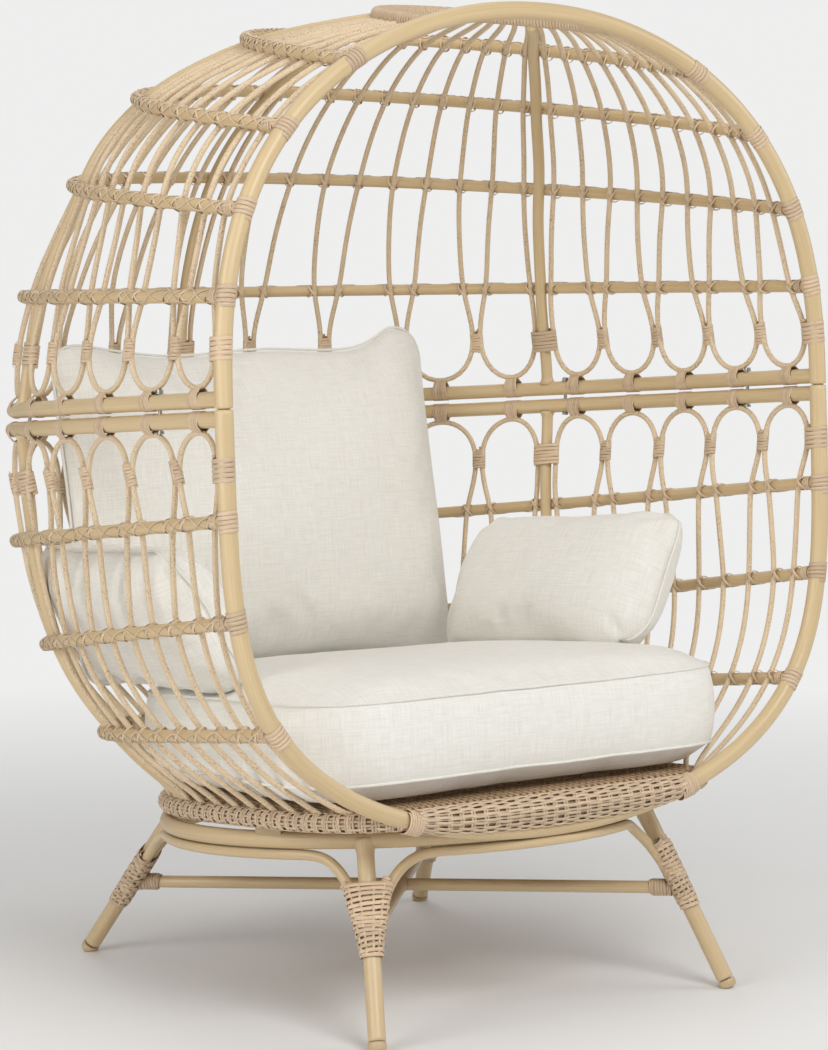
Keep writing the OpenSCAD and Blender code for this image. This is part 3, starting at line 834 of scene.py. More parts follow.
def rod_lashing(strands, half, u, f):
    """Two crossed strips round a rod and a rib."""
    point, tangent, normal, rise = local(half, u, f)
    reach = rod_inset(u) + ROD_R
    deep_half = (RIB_R + reach) / 2 + .0006
    wide_half = RIB_R / .80
    angle = full_turn(22) + .2
    cos, sin = np.cos(angle), np.sin(angle)
    for sign, width, lift in ((-1, .0030, 0), (1, .0044, .0006)):
        across = unit(tangent * .62 * sign + rise * .78)
        deep = signed_power(cos, 2 / 2.35) * deep_half + lift * np.sign(cos)
        wide = signed_power(sin, 2 / 2.35) * wide_half
        points = (point - normal * (reach - RIB_R) / 2 + in_plane(normal, across, deep, wide)
                  + tangent * rng.normal() * .0006)
        strands.sweep(points, strip(width + .0005 * rng.random(), .0012, 6),
                      in_plane(normal, across, cos / deep_half, sin / wide_half), closed=True)


def rib_laces(strands, half, u):
    """Two strips that weave up and down along the outer face of a rib."""
    f = np.linspace(.012, .988, 328)
    ring = cage(half, u, f)
    normal, side = ring_sides(ring)
    rods = f * LOOPS * 2
    for sign in (-1, 1):
        angle = sign * 1.2 * np.sin(math.pi * rods) * (1 + .08 * np.sin(rods * 1.7 + sign))
        radius = RIB_R + (.0011 if sign > 0 else .0007)
        around = in_plane(normal, side, np.cos(angle), np.sin(angle))
        strands.sweep(ring + radius * around, strip(.0027, .0010, 6), around)


def lashings(group, ribs):
    strands = Strands()
    for _, half, u in ribs:
        for i in range(LOOPS):
            for share in (-spread(u), spread(u)):
                rod_lashing(strands, half, u, (i + .5 + clear_share(i, share)) / LOOPS)
        rib_laces(strands, half, u)
    strands.mesh(f"rib_lashings_{group}", LASHING)


def top_rail_binding():
    """One strip wound round the top rail and the rod ends inside it."""
    strands = Strands()
    turns = ring_at("upper", 5)[2] * .96 / .0058
    coarse = np.linspace(.02, .98, 400)
    fine = np.linspace(.02, .98, 1600)
    normal, side = (interpolate(fine, coarse, x) for x in ring_sides(cage("upper", 5, coarse)))
    angle = np.linspace(0, turns * TAU, 1600)
    cos, sin = np.cos(angle), np.sin(angle)
    points = cage("upper", 5, fine) + in_plane(normal, side, .0108 * cos - .0028, .0092 * sin)
    strands.sweep(points, strip(.0054, .0013, 6), in_plane(normal, side, cos, sin))
    strands.mesh("top_rail_binding", BINDING)


for half in STATIONS:
    tie_wraps(half)
    seam_wraps(half)
hoop_wraps()
lashings("upper_top", RIBS[:2])
lashings("upper_low", RIBS[2:4])
lashings("lower", RIBS[4:])
top_rail_binding()

# ------------------------------------------------------------------ seat: rim, deck, apron
DECK_CENTRE = np.array([0, RING_Y, RING_Z + .052])
DECK_Y = unit([0, 1, TILT])
DECK_NORMAL = unit([0, -TILT, 1])


def rim_weave():
    """Bundles of turns round the seat rim, with lengthwise strands passing over and under."""
    rim = resample(cage_path("lower", 4, 800), 800)
    tube("seat_rim_core", resample(rim, 240), .0118, DECK, "seat_rim", sides=14)
    tangent = unit(np.gradient(rim, axis=0))
    out = unit(np.cross(tangent, DECK_NORMAL))
    inward = (out * (rim - (0, ORIGIN_Y + .03, 0))).sum(1) < 0
    out = np.where(inward[:, None], -out, out)
    rise = facing_up(np.cross(tangent, out))
    distance = arc_lengths(rim)
    length = distance[-1]

    def rim_at(at):
        point, *axes = (interpolate(at, distance, x) for x in (rim, tangent, out, rise))
        return (point, *(unit(axis) for axis in axes))
    bundles, laces = Strands(), Strands()
    count = int(length / .0192)
    pitch = length / count
    angle = full_turn(20)
    cos, sin = np.cos(angle), np.sin(angle)
    for j in range(count):
        turns = 3 if j % 4 != 2 else 4
        for i in range(turns):
            at = (j + .5) * pitch + (i - (turns - 1) / 2) * .0041 + rng.normal() * .0002
            point, direction, outer, up = (x[0] for x in rim_at(np.array([at])))
            lean = .004 * (.10 * math.sin(j * 1.3) + .05 * rng.normal())
            radius = .0136 + .0006 * ((i + j) % 2)
            points = (point + in_plane(outer, up, radius * cos, radius * 1.04 * sin)
                      + along(direction, lean * sin))
            bundles.sweep(points, strip(.0039, .0018), in_plane(outer, up, cos, sin), closed=True)
    rows = np.radians([-62, -34, -8, 18, 44, 70, 100, 130, 160, 190, 220, 250, 272])
    at = np.linspace(.004, length - .004, int(length / .0032))
    point, _, outer, up = rim_at(at)
    for row, angle in enumerate(rows):
        radius = .0137 + .0016 * np.cos(math.pi * (at / pitch + row))
        around = in_plane(outer, up, math.cos(angle), math.sin(angle))
        laces.sweep(point + along(around, radius), strip(.0040, .0014, 6), around)
    bundles.mesh("seat_rim_bundles", WEAVE)
    laces.mesh("seat_rim_laces", WEAVE)


def deck():
    """Plain weave inside the rim: round stakes across, flat strands from front to rear."""
    stake, strand_pitch = .0235, .0066
    outline = (cage_path("lower", 4, 400)[:, :2] - (0, RING_Y)) * .965
    low, high = outline.min(0), outline.max(0)
    outline = np.vstack([outline, outline[:1]])

    def span(level, axis):
        """Ends of the deck along the line where the given coordinate has one level."""
        start, end = outline[:-1], outline[1:]
        hit = (start[:, axis] - level) * (end[:, axis] - level) < 0
        start, end = start[hit], end[hit]
        share = (level - start[:, axis]) / (end[:, axis] - start[:, axis])
        ends = start[:, 1 - axis] + share * (end[:, 1 - axis] - start[:, 1 - axis])
        return ends.min(), ends.max()

    def on_deck(x, y):
        return DECK_CENTRE + in_plane([1, 0, 0], DECK_Y, x, y)
    stakes, strands = Strands(), Strands()
    rows = np.arange(low[1] + .012, high[1] - .006, stake)
    for y in rows:
        x = np.linspace(*span(y, 1), 40)
        stakes.sweep(on_deck(x, y), circle(.0034, 8), DECK_NORMAL)
    for j, x in enumerate(np.arange(low[0] + .006, high[0] - .003, strand_pitch)):
        front, rear = span(x, 0)
        if rear - front > .03:
            y = np.linspace(front, rear, max(8, int((rear - front) / .0059)))
            z = .0036 * np.cos(math.pi * (y - rows[0]) / stake + math.pi * (j % 2))
            strands.sweep(on_deck(x, y) + along(DECK_NORMAL, z), strip(.0058, .0022, 6),
                          DECK_NORMAL)
    stakes.mesh("seat_deck_stakes", DECK, "seat_deck")
    strands.mesh("seat_deck_strands", DECK)


def apron():
    """Woven roll along the front of the seat, oval and slimmer towards its ends."""
    rows, stake = 30, .0225
    x = np.linspace(-.268, .268, 200)
    share = np.abs(x) / .265
    y = hoop_y(.330) + ORIGIN_Y - .004 * (1 - share ** 2)
    centre = np.stack([x, y, .333 + .009 * share ** 3], -1)
    knots = [0, .55, .85, 1.01]
    height = np.interp(share, knots, [.0275, .0262, .0215, .0175])
    depth = np.interp(share, knots, [.0225, .0215, .0190, .0168])
    tangent = unit(np.gradient(centre, axis=0))
    forward = unit([0, -1.0, .05])
    front = square_to(forward, tangent)
    rise = facing_up(np.cross(front, tangent))
    core, strands, stakes = Strands(), Strands(), Strands()
    core.sweep(centre, circle(1, 16), forward,
               scale=np.stack([depth - .0042, height - .0042], -1))
    core.mesh("seat_apron_core", DECK, "seat_apron")
    for j in range(rows):
        angle = (TAU * j / rows + .04 * rng.normal()
                 + .045 * np.sin(x * 23 + j * 1.9) * np.sin(x * 9 + j))
        cos, sin = np.cos(angle), np.sin(angle)
        over = np.cos(math.pi * x / stake + math.pi * (j % 2)) * .0017 - .0012
        points = centre + in_plane(front, rise, (depth + over) * cos, (height + over) * sin)
        strands.sweep(points, strip(.0047, .0026), in_plane(front, rise, cos, sin),
                      scale=1 + .06 * np.sin(x * 61 + j * 2.2))
    angle = full_turn(32)
    cos, sin = np.cos(angle), np.sin(angle)
    for stake_x in np.arange(-.26, .2601, stake):
        i = int(np.argmin(np.abs(x - stake_x)))
        for offset in (-.0026, .0026):
            points = (centre[i] + tangent[i] * offset
                      + in_plane(front[i], rise[i], (depth[i] - .0016) * cos,
                                 (height[i] - .0016) * sin))
            stakes.sweep(points, strip(.0042, .0022, 6), in_plane(front[i], rise[i], cos, sin),
                         closed=True)
    strands.mesh("seat_apron_strands", WEAVE)
    stakes.mesh("seat_apron_stakes", WEAVE)


def hoop_foot_collars():
    """Turns round the hoop at both ends of the apron."""
    collars = Strands()
    for sign in (-1, 1):
        centre = np.array([sign * .275, hoop_y(.341) + ORIGIN_Y, .341])
        collars.wrap(centre, [sign * .060, 0, .016], [0, -1, 0], .0176, .0182, turns=6.2,
                     pitch=.0047, width=.0046, thick=.0015, segments=24, wobble=.0003)
    collars.mesh("hoop_foot_collars", BINDING, "hoop_collars")


rim_weave()
deck()
apron()
hoop_foot_collars()

# ------------------------------------------------------------------ stand
UP = np.array([0, 0, 1.0])
# name, side, y of the foot, angle of the leg's top on the base ring
LEGS = [("front_left", -1, -.395, 225), ("front_right", 1, -.395, 315),
        ("rear_left", -1, .470, 135), ("rear_right", 1, .470, 45)]
FEET = [np.array([side * .356, y + ORIGIN_Y, 0]) for _, side, y, _ in LEGS]
ARC_DROP = .0225                # bracket arcs below the base ring


def ring_point(degrees, radius=RING_R, lift=0.0):
    angle = np.radians(degrees)
    y = radius * np.sin(angle)
    return np.stack([radius * np.cos(angle), RING_Y + y, RING_Z + TILT * y + lift], -1)


LEG_TOPS = [ring_point(degrees) for _, _, _, degrees in LEGS]


def on_leg(i, z):
    return FEET[i] + (LEG_TOPS[i] - FEET[i]) * z / LEG_TOPS[i][2]


def leg_axes(i):
    """Directions along a leg, round the base ring, and square to both."""
    axis = unit(LEG_TOPS[i] - FEET[i])
    angle = math.radians(LEGS[i][3])
    tangent = square_to([-math.sin(angle), math.cos(angle), 0], axis)
    return axis, tangent, np.cross(axis, tangent)


def ring_and_legs():
    tube("base_ring_tube", ring_point(np.linspace(0, 360, 241)[:-1]), LEG_R, STAND, "base_ring",
         tone=.31, normal=UP, closed=True)
    for i, (name, *_) in enumerate(LEGS):
        top = LEG_TOPS[i][2]
        heights = np.r_[np.linspace(.0148, top - .012, 60),
                        np.linspace(top - .0115, top - .002, 6)]
        # a weld flares the tube where it meets the ring
        flare = 1 + .34 * np.clip((heights - (top - .024)) / .018, 0, 1) ** 2.2
        tube(f"leg_{name}_tube", [on_leg(i, z) for z in heights], LEG_R, STAND, f"leg_{name}",
             tone=.1 + .2 * i, scale=flare)


def bracket_arcs():
    """Tubes that run up out of one leg wrap, below the ring, and down into the next."""
    # distance below the arc's level, and distance out from the leg
    bend = ((.112, .011), (.092, .0175), (.070, .0235), (.050, .0295),
            (.034, .040), (.020, .054), (.006, .071))
    strands = Strands()
    for start, *legs in ((45, 3, 2), (135, 2, 0), (225, 0, 1), (315, 1, 3)):
        middle = ring_point(np.linspace(start + 14, start + 76, 44), RING_R + .003, -ARC_DROP)
        ends = []
        for leg, point in zip(legs, (middle[0], middle[-1])):
            level = LEG_TOPS[leg][2] - ARC_DROP
            out = unit((point - on_leg(leg, .25)) * (1, 1, 0))
            ends.append([on_leg(leg, level - below) + out * away for below, away in bend])
        path = np.vstack([ends[0], middle, ends[1][::-1]])
        strands.sweep(smooth_path(path, 230, 60), circle(ARC_R, 16), tone=.2 + start / 500)
    strands.mesh("bracket_arc_tubes", STAND, "bracket_arcs")


STRETCHER_ENDS = [on_leg(i, .160 if i < 2 else .130) for i in range(4)]
CROSSING = (STRETCHER_ENDS[2] + STRETCHER_ENDS[1]) / 2


def stretchers():
    """One tube between opposite legs, and two half tubes welded to its middle."""
    tube("stretcher_long_tube", resample([STRETCHER_ENDS[2], STRETCHER_ENDS[1]], 60),
         STRETCHER_R, STAND, "stretcher_long", sides=16, tone=.77)
    halves = Strands()
    direction = unit(STRETCHER_ENDS[0] - STRETCHER_ENDS[3])
    for leg, sign in ((0, 1), (3, -1)):
        points = resample([STRETCHER_ENDS[leg], CROSSING + direction * sign * .0060], 40)
        near = np.clip(1 - np.linalg.norm(points - points[-1], axis=1) / .014, 0, 1)
        halves.sweep(points, circle(STRETCHER_R, 16), scale=1 + .30 * near ** 1.6,
                     tone=.5 + .1 * sign)
    halves.mesh("stretcher_half_tubes", STAND, "stretcher_halves")


def bundle_half_sizes(share):
    """Half sizes of a leg bundle, across both arcs and through, at a share of its height."""
    return (np.interp(share, [0, .25, .6, .85, 1], [.0174, .0212, .0290, .0350, .0388]),
            np.interp(share, [0, .5, 1], [.0160, .0168, .0162]))


def leg_wrap(strands, stakes, i):
    """Woven sleeve round a leg and the ends of its two bracket arcs."""
    axis, tangent, radial = leg_axes(i)
    low, high = (.133, .229) if i < 2 else (.094, .182)
    base, run = on_leg(i, low), on_leg(i, high) - on_leg(i, low)
    rows = int(np.linalg.norm(run) / .0072)
    squareness, ripple = .86, .0010
    angle = full_turn(72)
    cos, sin = np.cos(angle), np.sin(angle)
    for j in range(rows + 1):
        wide, deep = bundle_half_sizes(j / rows)
        wave = ripple * np.cos(angle * 6 + math.pi * (j % 2)) * (1 if 0 < j < rows else .2)
        slant = .0018 * np.sin(angle + j * .7) + .0004 * rng.normal()
        points = (base + run * j / rows + along(axis, slant)
                  + in_plane(tangent, radial, (wide + wave) * signed_power(cos, squareness),
                             (deep + wave) * signed_power(sin, squareness)))
        normal = in_plane(tangent, radial, cos / wide, sin / deep)
        strands.sweep(points, strip(.0064, .0017), normal, closed=True)
    share = np.linspace(-.02, 1.02, 80)
    wide, deep = bundle_half_sizes(share)
    for stake in range(12):
        angle = TAU * (stake + .5) / 12
        cos, sin = math.cos(angle), math.sin(angle)
        wave = -ripple * np.cos(angle * 6 + math.pi * share * rows) - .0002
        points = (base + along(run, share)
                  + in_plane(tangent, radial, (wide + wave) * signed_power(cos, squareness),
                             (deep + wave) * signed_power(sin, squareness)))
        normal = tangent * cos / .02 + radial * sin / .0155
        stakes.sweep(points, strip(.0044, .0014, 6), normal)
    # turns round each arc where it leaves the bundle
    for sign in (-1, 1):
        centre = on_leg(i, high + .003) + tangent * sign * .0305
        above = on_leg(i, high + .025) + tangent * sign * .052
        below = on_leg(i, high - .010) + tangent * sign * .0255
        strands.wrap(centre, above - below, radial, ARC_R + .0006, ARC_R + .0006, turns=2.6,
                     pitch=.0052, width=.0050, thick=.0015)


def leg_wraps():
    strands, stakes = Strands(), Strands()
    for i in range(4):
        leg_wrap(strands, stakes, i)
    strands.mesh("leg_wrap_strands", BINDING, "leg_wraps")
    stakes.mesh("leg_wrap_stakes", BINDING)


def stretcher_collars():
    """Turns round each stretcher end, closed by crossing strips and flared onto the leg."""
    collars = Strands()
    angle = full_turn(24)
    cos, sin = np.cos(angle), np.sin(angle)
    for end in STRETCHER_ENDS:
        axis = unit(CROSSING - end)
        collars.wrap(end + axis * .036, axis, UP, STRETCHER_R + .0024, STRETCHER_R + .0024,
                     turns=5.3, pitch=.0049, width=.0048, thick=.0016, wobble=.0004)
        level = np.cross(axis, UP)
        for sign in (-1, 1):
            ring = along(axis, .002 * cos) + in_plane(UP, level, .0122 * cos, .0122 * sin)
            collars.sweep(end + axis * (.049 + sign * .0012) + ring, strip(.0030, .0016, 6),
                          ring, closed=True)
        level = unit(level)
        for offset, radius in ((.0215, .0128), (.0175, .0140)):
            ring = in_plane(level, np.cross(level, axis), radius * cos, radius * sin)
            collars.sweep(end + axis * offset + ring, strip(.0048, .0016, 6), ring, closed=True)
    collars.mesh("stretcher_collar_strips", BINDING, "stretcher_collars")


def foot_caps():
    """Rounded caps made of rings along the leg, their undersides flat on the floor."""
    # height along the leg and radius, from the top inner edge down
    profile = [(.0138, .0128), (.0142, .0139), (.0134, .0145), (.0090, .0146),
               (.0052, .0143), (.0022, .0130), (.0004, .0102), (-.0004, .0060)]
    sides = 28
    angle = full_turn(sides)
    row = np.arange(len(profile) - 1)[:, None]
    column = np.arange(sides)[None]
    steps = ((0, 0), (1, 0), (1, 1), (0, 1))
    quads = np.stack([(row + i) * sides + (column + j) % sides for i, j in steps], -1)
    quads = quads.reshape(-1, 4)
    middle = len(profile) * sides
    last = middle - sides
    tris = []
    for i in range(sides):
        j = (i + 1) % sides
        tris += [(middle, i, j), (middle + 1, last + j, last + i)]
    caps = Strands()
    for leg, foot in enumerate(FEET):
        axis = leg_axes(leg)[0]
        level = unit(np.cross(axis, UP))
        side = np.cross(level, axis)
        points = np.vstack([
            foot + axis * height + in_plane(level, side, radius * np.cos(angle),
                                            radius * np.sin(angle))
            for height, radius in profile])
        points[:, 2] = np.maximum(points[:, 2], 0)
        centres = [foot + axis * .0135, points[-sides:].mean(0) * (1, 1, 0)]
        caps.add(np.vstack([points, centres]), quads, tris, np.zeros((len(quads), 4, 2)),
                 tone=.1 * leg)
    caps.mesh("foot_cap_mouldings", FOOT, "foot_caps")


ring_and_legs()
bracket_arcs()
stretchers()
leg_wraps()
stretcher_collars()
foot_caps()

# pieces kept from the frame, in new materials
for name, material in (("mount_pads", PAD), ("mount_bolts", STEEL), ("mount_nuts", STEEL),
                       ("seam_bolts", STEEL), ("seam_nuts", STEEL), ("seam_washers", STEEL)):
    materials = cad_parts[name].data.materials
    materials.clear()
    materials.append(material)


# ------------------------------------------------------------------ cushions
def rim_loop(columns, rows):
    """Point numbers round the edge of a grid."""
    ids = np.arange((columns + 1) * (rows + 1)).reshape(columns + 1, rows + 1)
    return np.r_[ids[:-1, 0], ids[-1, :-1], ids[:0:-1, -1], ids[0, :0:-1]].tolist()


def panel_faces(top, bottom, below, columns, rows):
    """Faces and UVs of two facing grids; below gives the number of each bottom point."""
    faces, uvs = [], []
    for i in range(columns):
        for j in range(rows):
            k = i * (rows + 1) + j
            quad = [k, k + rows + 1, k + rows + 2, k + 1]
            faces += [quad, [int(below[v]) for v in quad[::-1]]]
            uvs += [[(top[v][0] + 1, top[v][1] + 1) for v in quad],
                    [(bottom[v][0] + 3, bottom[v][1] + 1) for v in quad[::-1]]]
    return faces, uvs


def quad_mesh(name, points, faces, uvs):
    mesh = bpy.data.meshes.new(name)
    mesh.from_pydata([tuple(point) for point in points], [], faces)
    mesh.update()
    layer = mesh.uv_layers.new(name="UVMap")
    layer.data.foreach_set("uv", np.array(uvs, np.float32).ravel())
    mesh.polygons.foreach_set("use_smooth", np.ones(len(mesh.polygons), bool))
    return mesh


def coordinates(mesh):
    flat = np.zeros(len(mesh.vertices) * 3)
    mesh.vertices.foreach_get("co", flat)
    return flat.reshape(-1, 3)


def inflate(mesh, seam, pressure, cap, shrink, tension=18, bend=.6, frames=20):
    """Inflates a closed cushion as cloth. The seam shrinks, and cap limits each movement."""
    start = coordinates(mesh)
    scene = bpy.context.scene
    obj = bpy.data.objects.new("tmp_" + mesh.name, mesh.copy())
    scene.collection.objects.link(obj)
    obj.vertex_groups.new(name="seam").add(seam, 1.0, "REPLACE")
    cloth = obj.modifiers.new("Cloth", "CLOTH")
    settings = dict(
        quality=6, mass=.25,
        tension_stiffness=tension, compression_stiffness=tension * .5,
        shear_stiffness=tension * .35, bending_stiffness=bend,
        tension_damping=12, compression_damping=12, shear_damping=12, air_damping=3,
        use_pressure=True, uniform_pressure_force=pressure,
        vertex_group_shrink="seam", shrink_min=0.0, shrink_max=shrink)
    for key, value in settings.items():
        setattr(cloth.settings, key, value)
    cloth.settings.effector_weights.gravity = 0
    cloth.collision_settings.use_collision = False
    cloth.point_cache.frame_start = 1
    cloth.point_cache.frame_end = frames
    scene.frame_start = 1
    scene.frame_end = max(scene.frame_end, frames)
    for number in range(1, frames + 1):
        scene.frame_set(number)
    evaluated = obj.evaluated_get(bpy.context.evaluated_depsgraph_get())
    end = coordinates(evaluated.to_mesh())
    evaluated.to_mesh_clear()
    copy = obj.data
    bpy.data.objects.remove(obj)
    bpy.data.meshes.remove(copy)
    scene.frame_set(1)
    move = end - start
    # an unstable solve leaves the cushion as it was drawn
    if not np.isfinite(move).all():
        return start
    distance = np.linalg.norm(move, axis=1)
    return start + along(move, np.minimum(1, cap / np.maximum(distance, 1e-9)))


def finish_cushion(mesh, points, name, body, replaced):
    mesh.vertices.foreach_set("co", points.ravel())
    mesh.update()
    obj = bpy.data.objects.new(name, mesh)
    bpy.context.scene.collection.objects.link(obj)
    mesh.materials.append(LINEN)
    subdivision = obj.modifiers.new("Subdivision", "SUBSURF")
    subdivision.levels = subdivision.render_levels = 1
    graph = bpy.context.evaluated_depsgraph_get()
    smooth = bpy.data.meshes.new_from_object(obj.evaluated_get(graph))
    obj.modifiers.clear()
    obj.data = smooth
    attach(obj, body)
    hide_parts(replaced)


def piping(name, seams, body, radius):
    strands = Strands()
    for seam in seams:
        path = smooth_path(seam, int(len(seam) * 1.6), 2, closed=True)
        strands.sweep(path, circle(radius, 8), closed=True)
    strands.mesh(name + "_piping", PIPING, body=body)


def pillow(name, body, replaced, size, crown, cells, axes, centre, shape, pinch, corner, lump,
           seed, pressure, cap, shrink, pucker=0):
    """Knife-edge cushion: two crowned panels sewn round a piped edge.

    Local x and y run along the width and height and z out of the front panel. The axes are
    those three directions. Crown holds the front and rear heights, pinch draws the sides in
    between the corners, and corner draws the corners in.
    """
    columns, rows = cells
    width, height = size
    phase = np.random.default_rng(seed).random(12) * 6.28
    u, v = np.meshgrid(np.linspace(-1, 1, columns + 1), np.linspace(-1, 1, rows + 1),
                       indexing="ij")
    far_u, far_v = (np.clip((np.abs(w) - .80) / .20, 0, 1) for w in (u, v))
    tuck = (1 - corner * (far_u * far_v) ** 2) / 2
    x = u * (1 - pinch * .5 * (1 - v ** 2) * np.abs(u) ** 3) * tuck * width
    y = v * (1 - pinch * (1 - u ** 2) * np.abs(v) ** 3) * tuck * height
    x, y = shape(u, v, x, y)
    dome = np.clip((1 - np.abs(u) ** 2.6) * (1 - np.abs(v) ** 2.6), 0, 1) ** .50
    lumps = lump * dome * (np.sin(u * 2.7 + phase[0]) * np.sin(v * 2.2 + phase[1])
                           + .6 * np.sin(u * 5.1 + v * 3.3 + phase[2])
                           + .4 * np.sin(v * 6.7 - u * 2.9 + phase[3]))
    edge_wave = .0035 * (np.sin(u * 4.2 + phase[4]) * v ** 4 + np.sin(v * 3.9 + phase[5]) * u ** 4)
    front = dome * crown[0] + lumps + edge_wave
    rear = -dome * crown[1] + lumps * .5 + edge_wave
    if pucker:
        # gathers that run out of each sewn corner
        for cu in (-1, 1):
            for cv in (-1, 1):
                dx, dy = (u - cu * 1.02) * width / 2, (v - cv * 1.04) * height / 2
                away = np.hypot(dx, dy)
                gather = (pucker * np.sin(11 * np.arctan2(dy, dx) + phase[6] + cu + 2 * cv)
                          * np.exp(-((away - .062) / .034) ** 2) * (away > .01))
                front = front + gather
                rear = rear + .6 * gather
    top, bottom = (np.stack([x, y, z], -1).reshape(-1, 3) for z in (front, rear))
    # the panels share their edge points
    inner = np.zeros((columns + 1, rows + 1), bool)
    inner[1:-1, 1:-1] = True
    inner = inner.ravel()
    below = np.arange(inner.size)
    below[inner] = inner.size + np.arange(inner.sum())
    points = np.vstack([top, bottom[inner]])
    seam = rim_loop(columns, rows)
    mesh = quad_mesh(name, points, *panel_faces(top, bottom, below, columns, rows))
    puffed = inflate(mesh, seam, pressure, cap, shrink)
    for axis in (0, 1):
        puffed[:, axis] *= np.ptp(points[:, axis]) / np.ptp(puffed[:, axis])
    placed = puffed @ np.array(axes) + centre
    finish_cushion(mesh, placed, name, body, replaced)
    piping(name, [placed[seam]], body, .0025)


def back_cushion():
    lean = math.radians(10.5)
    up = np.array([0, math.sin(lean), math.cos(lean)])
    out = np.array([0, -math.cos(lean), math.sin(lean)])
    base = np.array([0, .424 + ORIGIN_Y, .505])

    def slumped(u, v, x, y):
        """The top edge sags between its corners, and the right one stands up."""
        sag = .015 * np.exp(-((u - .84) / .17) ** 2) - .007 * (1 - u ** 2)
        return x, y + np.clip(v, 0, 1) ** 3 * (sag + .004 * np.sin(u * 7 + 1))
    pillow("back_cushion_cover", "back", "back_cushion", size=(.785, .592), crown=(.084, .082),
           cells=(64, 46), axes=([1, 0, 0], up, out), centre=base + up * .254 + out * .004,
           shape=slumped, pinch=.02, corner=.045, lump=.009, seed=5, pressure=3.2, cap=.022,
           shrink=.05)


def arm_pillow(side, sign, slope, centre):
    """Pillow leaning on one side of the cage, its front panel facing inwards."""
    run = unit([.087 * sign, -.992, slope]) * sign
    inward = unit(np.cross(run, unit([.516 * sign, .100, .851])))

    def soft_corners(u, v, x, y):
        """Soft corners, with the one at the bottom front turned in the most."""
        far = np.clip((np.abs(u) - .58) / .42, 0, 1) * np.clip((np.abs(v) - .45) / .55, 0, 1)
        tuck = 1 - (.055 + .10 * (u * sign > 0) * (v < 0)) * far ** 1.4
        return x * tuck, y * tuck
    pillow(f"arm_pillow_{side}_cover", f"pillow_{side}", f"arm_pillow_{side}",
           size=(.500, .274), crown=(.068, .056), cells=(44, 28),
           axes=(run, np.cross(inward, run), inward), centre=np.add(centre, (0, ORIGIN_Y, 0)),
           shape=soft_corners, pinch=.015, corner=.08, lump=.002, seed=21 + sign, pressure=3.5,
           cap=.016, shrink=.06, pucker=.0036)


def seat_outline(angle):
    """Seat plan, square in front and round behind."""
    cos, sin = np.cos(angle), np.sin(angle)
    power = np.where(sin < 0, 7.0, 2.15)
    depth = np.where(sin < 0, .392, .372)
    radius = ((np.abs(cos) / .428) ** power + (np.abs(sin) / depth) ** power) ** (-1 / power)
    return radius * cos, radius * sin


def seat_cushion():
    """Boxed cushion: crowned top, band between two piped seams, underside on the deck."""
    cells, band_rows = 52, 9
    low, high = .0315, .158             # heights of the two seams
    slope = -.06                        # rise per metre of y
    grid = np.linspace(-1, 1, cells + 1)
    u, v = np.meshgrid(grid, grid, indexing="ij")
    disc_x, disc_y = u * np.sqrt(1 - v ** 2 / 2), v * np.sqrt(1 - u ** 2 / 2)
    radius = np.hypot(disc_x, disc_y)
    x, y = (edge * radius * .985 for edge in seat_outline(np.arctan2(disc_y, disc_x)))
    phase = np.random.default_rng(3).random(8) * 6.28
    lumps = .0022 * np.clip(1.3 - radius, 0, 1) * (
        np.sin(x * 9 + phase[0]) * np.sin(y * 8 + phase[1])
        + .7 * np.sin(x * 17 - y * 9 + phase[2]))
    top_z = high + .018 * np.clip(1 - radius ** 2.6, 0, 1) ** .8 + lumps
    bottom_z = low - .0305 * np.clip((1 - radius ** 2.2) / .30, 0, 1) ** .85
    top, bottom = (np.stack([x, y, z], -1).reshape(-1, 3) for z in (top_z, bottom_z))
    below = len(top) + np.arange(len(top))
    faces, uvs = panel_faces(top, bottom, below, cells, cells)

    ring = rim_loop(cells, cells)
    count = len(ring)
    edge = top[ring]
    length = arc_lengths(np.vstack([edge, edge[:1]]))
    out = unit(edge * (1, 1, 0))
    layers, loops = [top, bottom], [ring]
    for k in range(1, band_rows):
        share = k / band_rows
        layer = edge + out * .0085 * math.sin(math.pi * share) ** .8
        layer[:, 2] = high + (low - high) * share
        first = 2 * len(top) + (k - 1) * count
        loops.append(list(range(first, first + count)))
        layers.append(layer)
    loops.append(below[ring].tolist())
    for k in range(band_rows):
        upper, lower = loops[k], loops[k + 1]
        v0, v1 = 5 + .125 * k / band_rows, 5 + .125 * (k + 1) / band_rows
        for i in range(count):
            j = (i + 1) % count
            u0, u1 = length[i], length[i + 1]
            faces.append([upper[i], lower[i], lower[j], upper[j]])
            uvs.append([(u0, v0), (u0, v1), (u1, v1), (u1, v0)])

    points = np.vstack(layers)
    mesh = quad_mesh("seat_cushion_cover", points, faces, uvs)
    seam = loops[0] + loops[-1]
    puffed = inflate(mesh, seam, pressure=3.0, cap=.022, shrink=.02, tension=22, bend=1.0)
    for axis in (0, 1):
        drawn, moved = points[seam, axis], puffed[seam, axis]
        scale = np.ptp(drawn) / np.ptp(moved)
        puffed[:, axis] = (puffed[:, axis] - moved.min()) * scale + drawn.min()
    # nothing hangs below the base plane, and the rear is pressed a little flatter
    puffed[:, 2] = np.maximum(puffed[:, 2], .0012)
    puffed[:, 2] *= 1 - .080 * ease(puffed[:, 1], -.12, .40)
    axes = np.array([[1, 0, 0], unit([0, 1, slope]), unit([0, -slope, 1])])
    placed = puffed @ axes + np.array([0, .040 + ORIGIN_Y, .346])
    finish_cushion(mesh, placed, "seat_cushion_cover", "seat", "seat_cushion")
    piping("seat_cushion_cover", [placed[loops[0]], placed[loops[-1]]], "seat", .0027)


